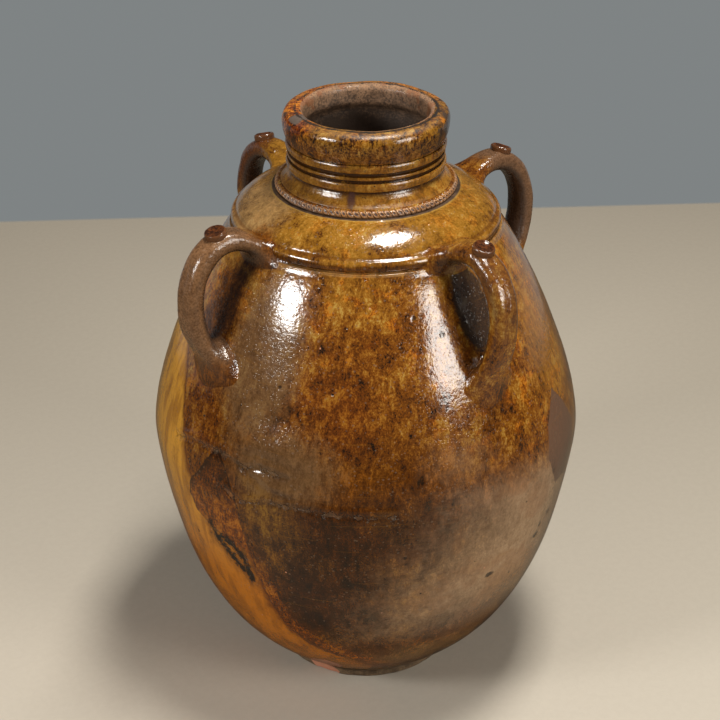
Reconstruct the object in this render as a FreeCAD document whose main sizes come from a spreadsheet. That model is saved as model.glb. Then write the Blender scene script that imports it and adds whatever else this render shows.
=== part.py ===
"""Large thrown storage jar with a ridged neck, a rope cordon and four looped handles.

Millimetres. +Z is up, and the origin is the centre of the foot on the floor. One handle points along each of
+X, +Y, -X and -Y. Every piece is a clay part that a potter forms apart and then lutes on: its joint faces lie
face to face with those of its neighbours.
"""

import FreeCAD, Part
import os
import Sketcher

document = FreeCAD.newDocument("storage_jar")
sheet = document.addObject("Spreadsheet::Sheet", "sizes")

# Driving dimensions. A radius is measured from the jar's axis, a wall level, a rise or a drop upright, and a
# share is a plain fraction.
SIZES = {
    # Foot
    "foot_radius": 93.5,
    "foot_seat_radius": 98.0,
    "foot_height": 13.0,
    "foot_band_height": 7.5,
    "foot_recess_radius": 68.0,
    "foot_recess_depth": 4.0,
    "foot_edge_round": 1.5,
    # Body, up to the belly seam and from there up to the ledge
    "belly_radius": 221.5,
    "bowl_rise": 267.0,
    "ledge_radius": 135.0,
    "flank_rise": 222.0,
    "wall_at_foot": 16.0,
    "wall_at_belly": 10.5,
    "wall_at_ledge": 15.0,
    # How full the two outlines are, as shares of their spans from the bottom up
    "bowl_low_reach": 0.595,
    "bowl_low_climb": 0.213,
    "bowl_high_reach": 0.832,
    "bowl_high_climb": 0.430,
    "flank_low_reach": 0.026,
    "flank_low_climb": 0.309,
    "flank_high_reach": 0.805,
    "flank_high_climb": 0.919,
    # Shoulder: the ledge, the bead that stands on it, and the dome
    "ledge_width": 4.0,
    "bead_swell": 3.2,
    "bead_rise": 16.5,
    "dome_rise": 36.0,
    "dome_top_radius": 92.0,
    "dome_bulge": 7.5,
    "shoulder_wall": 11.0,
    # Neck
    "throat_radius": 65.0,
    "neck_root_radius": 84.0,
    "neck_radius": 76.0,
    "neck_rise": 50.0,
    "neck_cove_rise": 9.5,
    "ridge_gap": 1.2,
    "low_ridge_rise": 9.8,
    "low_ridge_swell": 2.7,
    "thin_ridge_rise": 5.2,
    "thin_ridge_swell": 1.6,
    "high_ridge_rise": 9.6,
    "high_ridge_swell": 3.0,
    # Rim
    "rim_rise": 29.5,
    "rim_radius": 82.0,
    "rim_bulge_rise": 18.0,
    "rim_crest_radius": 70.0,
    "mouth_radius": 60.5,
    "rim_seat_radius": 77.0,
    # Rope cordon
    "rope_rise": 10.5,
    "rope_width": 6.2,
    "rope_twists": 100,
    "rope_cut_depth": 2.0,
    "rope_cut_width": 4.2,
    "rope_lean": 32.0,
    # Handles
    "handle_width": 28.4,
    "handle_thickness": 23.2,
    "handle_upper_root_width": 44.0,
    "handle_upper_root_thickness": 26.0,
    "handle_lower_root_width": 42.0,
    "handle_lower_root_thickness": 20.0,
    "handle_fullness": 0.88,
    "handle_root_inset": 10.7,
    "handle_root_lift": 5.4,
    "handle_crown_reach": 61.8,
    "handle_crown_climb": 48.0,
    "handle_bow_reach": 48.8,
    "handle_bow_climb": 78.8,
    "handle_foot_share": 0.466,
    # Buttons
    "button_radius": 10.75,
    "button_height": 5.2,
    "button_sink": 3.0,
    "button_hollow": 2.0,
    "button_rim_share": 0.66,
    "button_share": 0.29,
    # Shapes of the curves. Two pulls draw each curve out between its first point and its last. A pull share
    # says how far along the span a pull sits, and a draw share how far it is drawn aside.
    "arch_share": 0.75,
    "bead_pull_share": 0.2,
    "dome_low_pull_share": 0.22,
    "dome_high_pull_share": 0.64,
    "dome_draw_share": 0.6,
    "inner_dome_low_pull_share": 0.06,
    "inner_dome_high_pull_share": 0.42,
    "inner_dome_draw_share": 0.5,
    "cove_low_pull_share": 0.35,
    "cove_high_pull_share": 0.6,
    "cove_draw_share": 0.55,
    "rim_low_pull_share": 0.3,
    "rim_low_draw_share": 0.7,
    "rim_mid_pull_share": 0.66,
    "rim_shoulder_share": 0.68,
    "rim_crest_draw_share": 0.55,
    "rim_inner_draw_share": 0.5,
    "mouth_drop_share": 0.26,
    "mouth_pull_drop_share": 0.02,
    "throat_top_share": 0.4,
    "throat_pull_share": 0.22,
    "rope_pull_share": 0.02,
    "rope_ledge_share": 0.3,
    "button_side_draw_share": 1.03,
    "button_side_pull_share": 0.6,
    "button_crest_draw_share": 0.92,
    "button_inner_pull_share": 0.7,
    "button_centre_pull_share": 0.5,
}

# Heights, walls and curve pulls that follow from the driving dimensions. An arch whose two pulls stand at the
# same distance bulges by arch_share of it.
FORMULAS = {
    "belly_height": "foot_height + bowl_rise",
    "ledge_height": "belly_height + flank_rise",
    "collar_height": "ledge_height + dome_rise",
    "rim_height": "collar_height + neck_rise",
    "crest_height": "rim_height + rim_rise",
    # Outer curve of the lower bowl
    "bowl_low_radius": "foot_seat_radius + bowl_low_reach * (belly_radius - foot_seat_radius)",
    "bowl_low_height": "foot_height + bowl_low_climb * bowl_rise",
    "bowl_high_radius": "foot_seat_radius + bowl_high_reach * (belly_radius - foot_seat_radius)",
    "bowl_high_height": "foot_height + bowl_high_climb * bowl_rise",
    # Inner curve of the lower bowl
    "inner_foot_radius": "foot_seat_radius - wall_at_foot",
    "inner_bowl_low_radius": "bowl_low_radius - wall_at_foot",
    "inner_bowl_high_radius": "bowl_high_radius - wall_at_belly",
    "inner_belly_radius": "belly_radius - wall_at_belly",
    # Outer and inner curve of the upper half
    "flank_low_radius": "belly_radius + flank_low_reach * (ledge_radius - belly_radius)",
    "flank_low_height": "belly_height + flank_low_climb * flank_rise",
    "flank_high_radius": "belly_radius + flank_high_reach * (ledge_radius - belly_radius)",
    "flank_high_height": "belly_height + flank_high_climb * flank_rise",
    "inner_flank_low_radius": "flank_low_radius - wall_at_belly",
    "inner_flank_high_radius": "flank_high_radius - wall_at_ledge",
    "inner_ledge_radius": "ledge_radius - wall_at_ledge",
    # Shoulder
    "bead_foot_radius": "ledge_radius - ledge_width",
    "bead_top_radius": "bead_foot_radius - bead_swell / 2",
    "bead_top_height": "ledge_height + bead_rise",
    "bead_pull_radius": "bead_foot_radius + bead_swell / arch_share",
    "bead_low_pull_height": "ledge_height + bead_rise * bead_pull_share",
    "bead_high_pull_height": "ledge_height + bead_rise * (1 - bead_pull_share)",
    "dome_reach": "dome_top_radius - bead_top_radius",
    "dome_climb": "collar_height - bead_top_height",
    "dome_lift": "dome_bulge * dome_draw_share",
    "dome_low_pull_radius": "bead_top_radius + dome_reach * dome_low_pull_share",
    "dome_low_pull_height": "bead_top_height + dome_climb * dome_low_pull_share + dome_lift",
    "dome_high_pull_radius": "bead_top_radius + dome_reach * dome_high_pull_share",
    "dome_high_pull_height": "bead_top_height + dome_climb * dome_high_pull_share + dome_lift",
    "dome_underside_height": "collar_height - shoulder_wall",
    "inner_dome_reach": "inner_ledge_radius - throat_radius",
    "inner_dome_low_radius": "inner_ledge_radius - inner_dome_reach * inner_dome_low_pull_share",
    "inner_dome_low_height": "ledge_height + (dome_rise - shoulder_wall) * inner_dome_draw_share",
    "inner_dome_high_radius": "inner_ledge_radius - inner_dome_reach * inner_dome_high_pull_share",
    # Neck, from the cordon up
    "rope_top_height": "collar_height + rope_rise",
    "cove_top_height": "rope_top_height + neck_cove_rise",
    "cove_low_pull_height": "rope_top_height + neck_cove_rise * cove_low_pull_share",
    "cove_high_pull_height": "rope_top_height + neck_cove_rise * cove_high_pull_share",
    "cove_low_pull_radius": "neck_root_radius - (neck_root_radius - neck_radius) * cove_draw_share",
    "low_ridge_foot": "cove_top_height + ridge_gap",
    "low_ridge_top": "low_ridge_foot + low_ridge_rise",
    "thin_ridge_foot": "low_ridge_top + ridge_gap",
    "thin_ridge_top": "thin_ridge_foot + thin_ridge_rise",
    "high_ridge_foot": "thin_ridge_top + ridge_gap * 2",
    "high_ridge_top": "high_ridge_foot + high_ridge_rise",
    "low_ridge_pull_radius": "neck_radius + low_ridge_swell / arch_share",
    "thin_ridge_pull_radius": "neck_radius + thin_ridge_swell / arch_share",
    "high_ridge_pull_radius": "neck_radius + high_ridge_swell / arch_share",
    # Rim
    "rim_bulge_height": "rim_height + rim_bulge_rise",
    "rim_low_pull_radius": "rim_seat_radius + (rim_radius - rim_seat_radius) * rim_low_draw_share",
    "rim_low_pull_height": "rim_height + rim_bulge_rise * rim_low_pull_share",
    "rim_mid_pull_height": "rim_height + rim_bulge_rise * rim_mid_pull_share",
    "rim_shoulder_height": "rim_bulge_height + (rim_rise - rim_bulge_rise) * rim_shoulder_share",
    "rim_crest_pull_radius": "rim_crest_radius + (rim_radius - rim_crest_radius) * rim_crest_draw_share",
    "rim_inner_pull_radius": "rim_crest_radius - (rim_crest_radius - mouth_radius) * rim_inner_draw_share",
    "mouth_height": "crest_height - rim_rise * mouth_drop_share",
    "mouth_pull_height": "crest_height - rim_rise * mouth_pull_drop_share",
    "throat_top_height": "rim_height + rim_rise * throat_top_share",
    "throat_pull_height": "rim_height + rim_rise * throat_pull_share",
    # Rope cordon
    "rope_radius": "neck_root_radius + rope_width",
    "rope_low_pull_height": "collar_height + rope_rise * rope_pull_share",
    "rope_high_pull_height": "rope_top_height - rope_rise * rope_pull_share",
    "rope_ledge": "rope_width * rope_ledge_share",
    "rope_pull_radius": "neck_root_radius + rope_ledge + (rope_width - rope_ledge) / arch_share",
    "rope_ledge_radius": "neck_root_radius + rope_ledge",
}

# The handle's cross-sections: their shares along the centre line, past both roots into the body
STATIONS = (0.0, 0.1, 0.21, 0.33, 0.46, 0.60, 0.73, 0.84, 0.94, 1.06)
UPPER_FLARE_END = 0.30
LOWER_FLARE_START = 0.72

HANDLE_SIDES = {"right": 0.0, "back": 90.0, "left": 180.0, "front": 270.0}


def cubic(share, first, second, third, fourth):
    """Formula of a point on the cubic curve through first and fourth, pulled by second and third."""
    rest = f"(1 - {share})"
    return (
        f"{rest}^3 * {first} + 3 * {rest}^2 * {share} * {second}"
        f" + 3 * {rest} * {share}^2 * {third} + {share}^3 * {fourth}"
    )


def cubic_slope(share, first, second, third, fourth):
    """Formula of the same curve's rate of change along its share."""
    rest = f"(1 - {share})"
    return (
        f"3 * {rest}^2 * ({second} - {first}) + 6 * {rest} * {share} * ({third} - {second})"
        f" + 3 * {share}^2 * ({fourth} - {third})"
    )


FLANK_RADII = ("belly_radius", "flank_low_radius", "flank_high_radius", "ledge_radius")
FLANK_HEIGHTS = ("belly_height", "flank_low_height", "flank_high_height", "ledge_height")
HANDLE_RADII = ("handle_root_radius", "handle_crown_radius", "handle_bow_radius", "handle_foot_radius")
HANDLE_HEIGHTS = ("handle_root_height", "handle_crown_height", "handle_bow_height", "handle_foot_height")


def upper_flare(share):
    """How much of the upper root's extra width a cross-section has, from 1 at the root to 0."""
    return max(0.0, 1.0 - share / UPPER_FLARE_END) ** 2


def lower_flare(share):
    """The same for the lower root, where the clay is smeared on to the body."""
    return min(1.0, max(0.0, (share - LOWER_FLARE_START) / (1.0 - LOWER_FLARE_START))) ** 2


def handle_formulas():
    """Places, tilts and sizes of the handle's cross-sections, and the seat of its button."""
    formulas = {
        "handle_root_radius": "ledge_radius - handle_root_inset",
        "handle_root_height": "ledge_height + handle_root_lift",
        "handle_foot_radius": cubic("handle_foot_share", *FLANK_RADII),
        "handle_foot_height": cubic("handle_foot_share", *FLANK_HEIGHTS),
        "handle_crown_radius": "handle_root_radius + handle_crown_reach",
        "handle_crown_height": "handle_root_height + handle_crown_climb",
        "handle_bow_radius": "handle_foot_radius + handle_bow_reach",
        "handle_bow_height": "handle_foot_height + handle_bow_climb",
    }
    for number, share in enumerate(STATIONS):
        outward = cubic_slope(share, *HANDLE_RADII)
        upward = cubic_slope(share, *HANDLE_HEIGHTS)
        formulas[f"station_{number}_radius"] = cubic(share, *HANDLE_RADII)
        formulas[f"station_{number}_height"] = cubic(share, *HANDLE_HEIGHTS)
        formulas[f"station_{number}_tilt"] = f"(90 deg - atan2({upward}; {outward})) / 1 deg"
        upper = round(upper_flare(share), 4)
        lower = round(lower_flare(share), 4)
        for side in ("width", "thickness"):
            half = (
                f"(handle_{side} + {upper} * (handle_upper_root_{side} - handle_{side})"
                f" + {lower} * (handle_lower_root_{side} - handle_{side})) / 2"
            )
            # The curve passes an edge pole at two thirds of it and a third of its two corner poles
            formulas[f"station_{number}_{side}_edge"] = f"{half} * (3 - handle_fullness) / 2"
            formulas[f"station_{number}_{side}_corner"] = f"{half} * handle_fullness"
    formulas["button_tilt"] = (
        f"-atan2({cubic_slope('button_share', *HANDLE_HEIGHTS)};"
        f" {cubic_slope('button_share', *HANDLE_RADII)}) / 1 deg"
    )
    depth = "(handle_thickness / 2 - button_sink)"
    formulas["button_radius_from_axis"] = (
        f"{cubic('button_share', *HANDLE_RADII)} + {depth} * sin(button_tilt)"
    )
    formulas["button_base_height"] = (
        f"{cubic('button_share', *HANDLE_HEIGHTS)} + {depth} * cos(button_tilt)"
    )
    formulas["button_top"] = "button_sink + button_height"
    formulas["button_hollow_height"] = "button_top - button_hollow"
    formulas["button_crest_radius"] = "button_radius * button_rim_share"
    formulas["button_side_pull_radius"] = "button_radius * button_side_draw_share"
    formulas["button_side_pull_height"] = "button_sink + button_height * button_side_pull_share"
    formulas["button_crest_pull_radius"] = "button_radius * button_crest_draw_share"
    formulas["button_inner_pull_radius"] = "button_crest_radius * button_inner_pull_share"
    formulas["button_centre_pull_radius"] = "button_crest_radius * button_centre_pull_share"
    return formulas


def fill_sheet():
    """Puts every size and formula in the sheet, each under its own name."""
    row = 0
    for name, value in SIZES.items():
        row += 1
        sheet.set(f"A{row}", name)
        sheet.set(f"B{row}", str(value))
        sheet.setAlias(f"B{row}", name)
    for name, formula in {**FORMULAS, **handle_formulas()}.items():
        row += 1
        sheet.set(f"A{row}", name)
        sheet.setAlias(f"B{row}", name)
        sheet.set(f"B{row}", f"={formula}")
    document.recompute()


def size(name):
    return float(sheet.get(name))


def new_body(label):
    body = document.addObject("PartDesign::Body", label)
    body.Label = label
    return body


def origin_feature(body, role):
    return [feature for feature in body.Origin.OriginFeatures if feature.Role == role][0]


def new_sketch(body, name, plane="XZ_Plane"):
    sketch = body.newObject("Sketcher::SketchObject", name)
    sketch.AttachmentSupport = [(origin_feature(body, plane), "")]
    sketch.MapMode = "FlatFace"
    return sketch


def bind(sketch, geometry, point, across, up):
    """Ties a point of the sketch to two named sizes, or to an axis if the name is axis or floor."""
    if across == "axis":
        sketch.addConstraint(Sketcher.Constraint("PointOnObject", geometry, point, -2))
    else:
        bind_distance(sketch, "DistanceX", geometry, point, across)
    if up == "floor":
        sketch.addConstraint(Sketcher.Constraint("PointOnObject", geometry, point, -1))
    else:
        bind_distance(sketch, "DistanceY", geometry, point, up)


def bind_distance(sketch, kind, geometry, point, name, sign=1):
    """Ties one coordinate of a point to a named size, on the side of the sketch's origin that sign gives."""
    constraint = Sketcher.Constraint(kind, -1, 1, geometry, point, sign * size(name))
    index = sketch.addConstraint(constraint)
    sketch.setExpression(f"Constraints[{index}]", f"{sign} * sizes.{name}")


def place(across, up):
    values = []
    for name in (across, up):
        values.append(0.0 if name in ("axis", "floor") else size(name))
    return FreeCAD.Vector(values[0], values[1], 0)


def draw_outline(sketch, start, steps):
    """Closed outline from start through steps and back. A step of one point is straight, and one of three
    points is a smooth curve to its last point, pulled by the two before it."""
    corners = [start] + [step[-1] for step in steps]
    pieces = []
    for corner, step in zip(corners, steps):
        if len(step) == 1:
            line = Part.LineSegment(place(*corner), place(*step[0]))
            pieces.append(sketch.addGeometry(line, False))
            continue
        poles = [place(*corner)] + [place(*point) for point in step]
        curve = Part.BSplineCurve()
        curve.buildFromPolesMultsKnots(poles, [4, 4], [0, 1], False, 3)
        piece = sketch.addGeometry(curve, False)
        first_pole = sketch.GeometryCount
        sketch.exposeInternalGeometry(piece)
        bind(sketch, first_pole + 1, 3, *step[0])
        bind(sketch, first_pole + 2, 3, *step[1])
        pieces.append(piece)
    closing = Part.LineSegment(place(*corners[-1]), place(*start))
    pieces.append(sketch.addGeometry(closing, False))
    for number, piece in enumerate(pieces):
        sketch.addConstraint(Sketcher.Constraint("Coincident", pieces[number - 1], 2, piece, 1))
        bind(sketch, piece, 1, *corners[number])


def revolve(body, name, start, steps, kind="PartDesign::Revolution"):
    """Turns a closed outline, drawn upright, once round the jar's axis."""
    sketch = new_sketch(body, f"{name}_outline")
    draw_outline(sketch, start, steps)
    turned = body.newObject(kind, name)
    turned.Profile = sketch
    turned.ReferenceAxis = (sketch, ["V_Axis"])
    turned.Angle = 360
    document.recompute()
    return turned


# Outer curves that more than one piece follows
FLANK = [
    (
        ("flank_low_radius", "flank_low_height"),
        ("flank_high_radius", "flank_high_height"),
        ("ledge_radius", "ledge_height"),
    ),
]
BEAD_AND_DOME = [
    (
        ("bead_pull_radius", "bead_low_pull_height"),
        ("bead_pull_radius", "bead_high_pull_height"),
        ("bead_top_radius", "bead_top_height"),
    ),
    (
        ("dome_low_pull_radius", "dome_low_pull_height"),
        ("dome_high_pull_radius", "dome_high_pull_height"),
        ("dome_top_radius", "collar_height"),
    ),
]


def make_foot():
    """Base disc: the floor of the jar, with a foot ring left round a turned recess."""
    body = new_body("foot")
    disc = revolve(
        body,
        "disc",
        ("axis", "foot_recess_depth"),
        [
            (("foot_recess_radius", "foot_recess_depth"),),
            (("foot_recess_radius", "floor"),),
            (("foot_radius", "floor"),),
            (("foot_radius", "foot_band_height"),),
            (("foot_seat_radius", "foot_height"),),
            (("axis", "foot_height"),),
        ],
    )
    floor_edges = []
    for number, edge in enumerate(disc.Shape.Edges, 1):
        if edge.BoundBox.ZMax < 0.01 and edge.isClosed():
            floor_edges.append(f"Edge{number}")
    rounded = body.newObject("PartDesign::Fillet", "worn_edges")
    rounded.Base = (disc, floor_edges)
    rounded.Radius = size("foot_edge_round")
    rounded.setExpression("Radius", "sizes.foot_edge_round")
    body.Tip = rounded
    return body


def make_lower_body():
    """Thrown lower bowl, from the foot to the belly seam."""
    body = new_body("lower_body")
    revolve(
        body,
        "bowl",
        ("foot_seat_radius", "foot_height"),
        [
            (
                ("bowl_low_radius", "bowl_low_height"),
                ("bowl_high_radius", "bowl_high_height"),
                ("belly_radius", "belly_height"),
            ),
            (("inner_belly_radius", "belly_height"),),
            (
                ("inner_bowl_high_radius", "bowl_high_height"),
                ("inner_bowl_low_radius", "bowl_low_height"),
                ("inner_foot_radius", "foot_height"),
            ),
        ],
    )
    return body


def make_upper_body():
    """Thrown upper half, from the belly seam to the ledge."""
    body = new_body("upper_body")
    revolve(
        body,
        "flank",
        ("belly_radius", "belly_height"),
        FLANK
        + [
            (("inner_ledge_radius", "ledge_height"),),
            (
                ("inner_flank_high_radius", "flank_high_height"),
                ("inner_flank_low_radius", "flank_low_height"),
                ("inner_belly_radius", "belly_height"),
            ),
        ],
    )
    return body


def make_shoulder():
    """Domed collar, with the bead that stands on the ledge."""
    body = new_body("shoulder")
    revolve(
        body,
        "dome",
        ("bead_foot_radius", "ledge_height"),
        BEAD_AND_DOME
        + [
            (("throat_radius", "collar_height"),),
            (("throat_radius", "dome_underside_height"),),
            (
                ("inner_dome_high_radius", "dome_underside_height"),
                ("inner_dome_low_radius", "inner_dome_low_height"),
                ("inner_ledge_radius", "ledge_height"),
            ),
        ],
    )
    return body


def ridge(name):
    """A rounded ridge round the neck, between two fine grooves."""
    pull = f"{name}_pull_radius"
    return [
        (("neck_radius", f"{name}_foot"),),
        (
            (pull, f"{name}_foot"),
            (pull, f"{name}_top"),
            ("neck_radius", f"{name}_top"),
        ),
    ]


def make_neck():
    """Neck, with a cove above the cordon and three ridges."""
    body = new_body("neck")
    revolve(
        body,
        "ridged_wall",
        ("neck_root_radius", "collar_height"),
        [
            (("neck_root_radius", "rope_top_height"),),
            (
                ("cove_low_pull_radius", "cove_low_pull_height"),
                ("neck_radius", "cove_high_pull_height"),
                ("neck_radius", "cove_top_height"),
            ),
        ]
        + ridge("low_ridge")
        + ridge("thin_ridge")
        + ridge("high_ridge")
        + [
            (("neck_radius", "rim_height"),),
            (("throat_radius", "rim_height"),),
            (("throat_radius", "collar_height"),),
        ],
    )
    return body


def make_rim():
    """Thick rolled lip."""
    body = new_body("rim")
    revolve(
        body,
        "lip",
        ("rim_seat_radius", "rim_height"),
        [
            (
                ("rim_low_pull_radius", "rim_low_pull_height"),
                ("rim_radius", "rim_mid_pull_height"),
                ("rim_radius", "rim_bulge_height"),
            ),
            (
                ("rim_radius", "rim_shoulder_height"),
                ("rim_crest_pull_radius", "crest_height"),
                ("rim_crest_radius", "crest_height"),
            ),
            (
                ("rim_inner_pull_radius", "crest_height"),
                ("mouth_radius", "mouth_pull_height"),
                ("mouth_radius", "mouth_height"),
            ),
            (("mouth_radius", "throat_top_height"),),
            (
                ("mouth_radius", "throat_pull_height"),
                ("throat_radius", "throat_pull_height"),
                ("throat_radius", "rim_height"),
            ),
        ],
    )
    return body


def make_rope_cordon():
    """Roll of clay round the root of the neck, with slanting cuts all round that make it a twisted rope."""
    body = new_body("rope_cordon")
    revolve(
        body,
        "roll",
        ("neck_root_radius", "collar_height"),
        [
            (("rope_ledge_radius", "collar_height"),),
            (
                ("rope_pull_radius", "rope_low_pull_height"),
                ("rope_pull_radius", "rope_high_pull_height"),
                ("rope_ledge_radius", "rope_top_height"),
            ),
            (("neck_root_radius", "rope_top_height"),),
        ],
    )
    uncut_volume = body.Shape.Volume
    notch = new_sketch(body, "notch_outline", "XY_Plane")
    notch.AttachmentOffset = FreeCAD.Placement(
        FreeCAD.Vector(size("rope_radius"), 0, size("collar_height") + size("rope_rise") / 2),
        FreeCAD.Rotation(FreeCAD.Vector(1, 0, 0), size("rope_lean")),
    )
    notch.setExpression("AttachmentOffset.Base.x", "sizes.rope_radius")
    notch.setExpression("AttachmentOffset.Base.z", "sizes.collar_height + sizes.rope_rise / 2")
    notch.setExpression("AttachmentOffset.Rotation.Angle", "sizes.rope_lean")
    depth = size("rope_cut_depth")
    width = size("rope_cut_width")
    # A triangle with its point in the clay, as wide as the cut where it leaves the roll
    corners = [
        FreeCAD.Vector(-depth, 0, 0),
        FreeCAD.Vector(depth, width, 0),
        FreeCAD.Vector(depth, -width, 0),
    ]
    sides = []
    for number, corner in enumerate(corners):
        side = Part.LineSegment(corner, corners[(number + 1) % len(corners)])
        sides.append(notch.addGeometry(side, False))
    for number, side in enumerate(sides):
        notch.addConstraint(Sketcher.Constraint("Coincident", sides[number - 1], 2, side, 1))
    notch.addConstraint(Sketcher.Constraint("PointOnObject", sides[0], 1, -1))
    notch.addConstraint(Sketcher.Constraint("Symmetric", sides[0], 2, sides[1], 2, -1))
    bind_distance(notch, "DistanceX", sides[0], 1, "rope_cut_depth", -1)
    bind_distance(notch, "DistanceX", sides[0], 2, "rope_cut_depth")
    bind_distance(notch, "DistanceY", sides[0], 2, "rope_cut_width")
    cut = body.newObject("PartDesign::Pocket", "notch")
    cut.Profile = notch
    cut.Midplane = True
    cut.Length = 2 * size("rope_rise")
    cut.setExpression("Length", "2 * sizes.rope_rise")
    body.Tip = cut
    document.recompute()
    twists = body.newObject("PartDesign::PolarPattern", "twists")
    twists.Originals = [cut]
    twists.Axis = (origin_feature(body, "Z_Axis"), [""])
    twists.Angle = 360
    twists.Occurrences = int(size("rope_twists"))
    twists.setExpression("Occurrences", "sizes.rope_twists")
    body.Tip = twists
    document.recompute()
    if not body.Shape.Volume < uncut_volume:
        raise RuntimeError("the notches of the rope cut nothing")
    return body


def draw_section(sketch, number):
    """Rounded, slightly boxy cross-section of the handle as one closed curve round eight poles."""
    poles = []
    points = []
    for across, up in ((1, 0), (1, 1), (0, 1), (-1, 1), (-1, 0), (-1, -1), (0, -1), (1, -1)):
        kind = "corner" if across and up else "edge"
        thickness = f"station_{number}_thickness_{kind}"
        width = f"station_{number}_width_{kind}"
        poles.append((("DistanceX", across, thickness, -2), ("DistanceY", up, width, -1)))
        points.append(FreeCAD.Vector(across * size(thickness), up * size(width), 0))
    curve = Part.BSplineCurve()
    knots = list(range(len(points) + 1))
    curve.buildFromPolesMultsKnots(points, [1] * len(knots), knots, True, 3)
    piece = sketch.addGeometry(curve, False)
    first_pole = sketch.GeometryCount
    sketch.exposeInternalGeometry(piece)
    for offset, coordinates in enumerate(poles):
        pole = first_pole + offset
        for kind, sign, name, axis in coordinates:
            if sign:
                bind_distance(sketch, kind, pole, 3, name, sign)
            else:
                sketch.addConstraint(Sketcher.Constraint("PointOnObject", pole, 3, axis))


def make_handle(side, turn):
    """Pulled and looped handle: lofted along its bow, trimmed to the jar, with a seat for its button."""
    body = new_body(f"handle_{side}")
    sections = []
    for number in range(len(STATIONS)):
        sketch = new_sketch(body, f"section_{number}", "XY_Plane")
        station = f"station_{number}"
        sketch.AttachmentOffset = FreeCAD.Placement(
            FreeCAD.Vector(size(f"{station}_radius"), 0, size(f"{station}_height")),
            FreeCAD.Rotation(FreeCAD.Vector(0, 1, 0), size(f"{station}_tilt")),
        )
        sketch.setExpression("AttachmentOffset.Base.x", f"sizes.{station}_radius")
        sketch.setExpression("AttachmentOffset.Base.z", f"sizes.{station}_height")
        sketch.setExpression("AttachmentOffset.Rotation.Angle", f"sizes.{station}_tilt")
        draw_section(sketch, number)
        sections.append(sketch)
    bow = body.newObject("PartDesign::AdditiveLoft", "bow")
    bow.Profile = sections[0]
    bow.Sections = sections[1:]
    bow.Ruled = False
    document.recompute()
    bow_volume = body.Shape.Volume
    trim = revolve(
        body,
        "trim",
        ("axis", "belly_height"),
        [(("belly_radius", "belly_height"),)]
        + FLANK
        + [(("bead_foot_radius", "ledge_height"),)]
        + BEAD_AND_DOME
        + [(("axis", "collar_height"),)],
        kind="PartDesign::Groove",
    )
    body.Tip = trim
    document.recompute()
    trimmed_volume = body.Shape.Volume
    seat_outline = new_sketch(body, "button_seat_outline", "XY_Plane")
    seat_outline.AttachmentOffset = FreeCAD.Placement(
        FreeCAD.Vector(size("button_radius_from_axis"), 0, size("button_base_height")),
        FreeCAD.Rotation(FreeCAD.Vector(0, 1, 0), size("button_tilt")),
    )
    seat_outline.setExpression("AttachmentOffset.Base.x", "sizes.button_radius_from_axis")
    seat_outline.setExpression("AttachmentOffset.Base.z", "sizes.button_base_height")
    seat_outline.setExpression("AttachmentOffset.Rotation.Angle", "sizes.button_tilt")
    circle = Part.Circle(FreeCAD.Vector(0, 0, 0), FreeCAD.Vector(0, 0, 1), size("button_radius"))
    seat_outline.addGeometry(circle, False)
    seat_outline.addConstraint(Sketcher.Constraint("Coincident", 0, 3, -1, 1))
    index = seat_outline.addConstraint(Sketcher.Constraint("Radius", 0, size("button_radius")))
    seat_outline.setExpression(f"Constraints[{index}]", "sizes.button_radius")
    seat = body.newObject("PartDesign::Pocket", "button_seat")
    seat.Profile = seat_outline
    seat.Reversed = True
    seat.Length = size("button_top")
    seat.setExpression("Length", "sizes.button_top")
    body.Tip = seat
    document.recompute()
    if not body.Shape.Volume < trimmed_volume < bow_volume:
        raise RuntimeError(f"the trim or the button seat of handle_{side} cut nothing")
    body.Placement = FreeCAD.Placement(FreeCAD.Vector(), FreeCAD.Rotation(FreeCAD.Vector(0, 0, 1), turn))
    return body


def make_button(side, turn):
    """Pellet of clay pressed on to the crown of a handle, dished by the thumb."""
    body = new_body(f"button_{side}")
    sketch = new_sketch(body, "pellet_outline")
    sketch.AttachmentOffset = FreeCAD.Placement(
        FreeCAD.Vector(size("button_radius_from_axis"), size("button_base_height"), 0),
        FreeCAD.Rotation(FreeCAD.Vector(0, 0, -1), size("button_tilt")),
    )
    sketch.setExpression("AttachmentOffset.Base.x", "sizes.button_radius_from_axis")
    sketch.setExpression("AttachmentOffset.Base.y", "sizes.button_base_height")
    sketch.setExpression("AttachmentOffset.Rotation.Angle", "sizes.button_tilt")
    draw_outline(
        sketch,
        ("axis", "floor"),
        [
            (("button_radius", "floor"),),
            (("button_radius", "button_sink"),),
            (
                ("button_side_pull_radius", "button_side_pull_height"),
                ("button_crest_pull_radius", "button_top"),
                ("button_crest_radius", "button_top"),
            ),
            (
                ("button_inner_pull_radius", "button_top"),
                ("button_centre_pull_radius", "button_hollow_height"),
                ("axis", "button_hollow_height"),
            ),
        ],
    )
    pellet = body.newObject("PartDesign::Revolution", "pellet")
    pellet.Profile = sketch
    pellet.ReferenceAxis = (sketch, ["V_Axis"])
    pellet.Angle = 360
    body.Placement = FreeCAD.Placement(FreeCAD.Vector(), FreeCAD.Rotation(FreeCAD.Vector(0, 0, 1), turn))
    return body


def check(bodies):
    """Stops before anything is written if a feature failed or a piece isn't one sound solid."""
    document.recompute()
    for item in document.Objects:
        if "Invalid" in item.State or "Error" in item.State:
            raise RuntimeError(f"{item.Label} failed: {item.State}")
    for body in bodies:
        shape = body.Shape
        if shape.isNull() or not shape.isValid() or len(shape.Solids) != 1:
            raise RuntimeError(f"{body.Label} isn't one sound solid")


def write(bodies):
    os.makedirs("parts", exist_ok=True)
    for body in bodies:
        body.Shape.exportStep(f"parts/{body.Label}.step")
        box = body.Shape.BoundBox
        print(f"{body.Label}: {body.Shape.Volume / 1000:.1f} cm3, z {box.ZMin:.1f} to {box.ZMax:.1f}")


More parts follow.
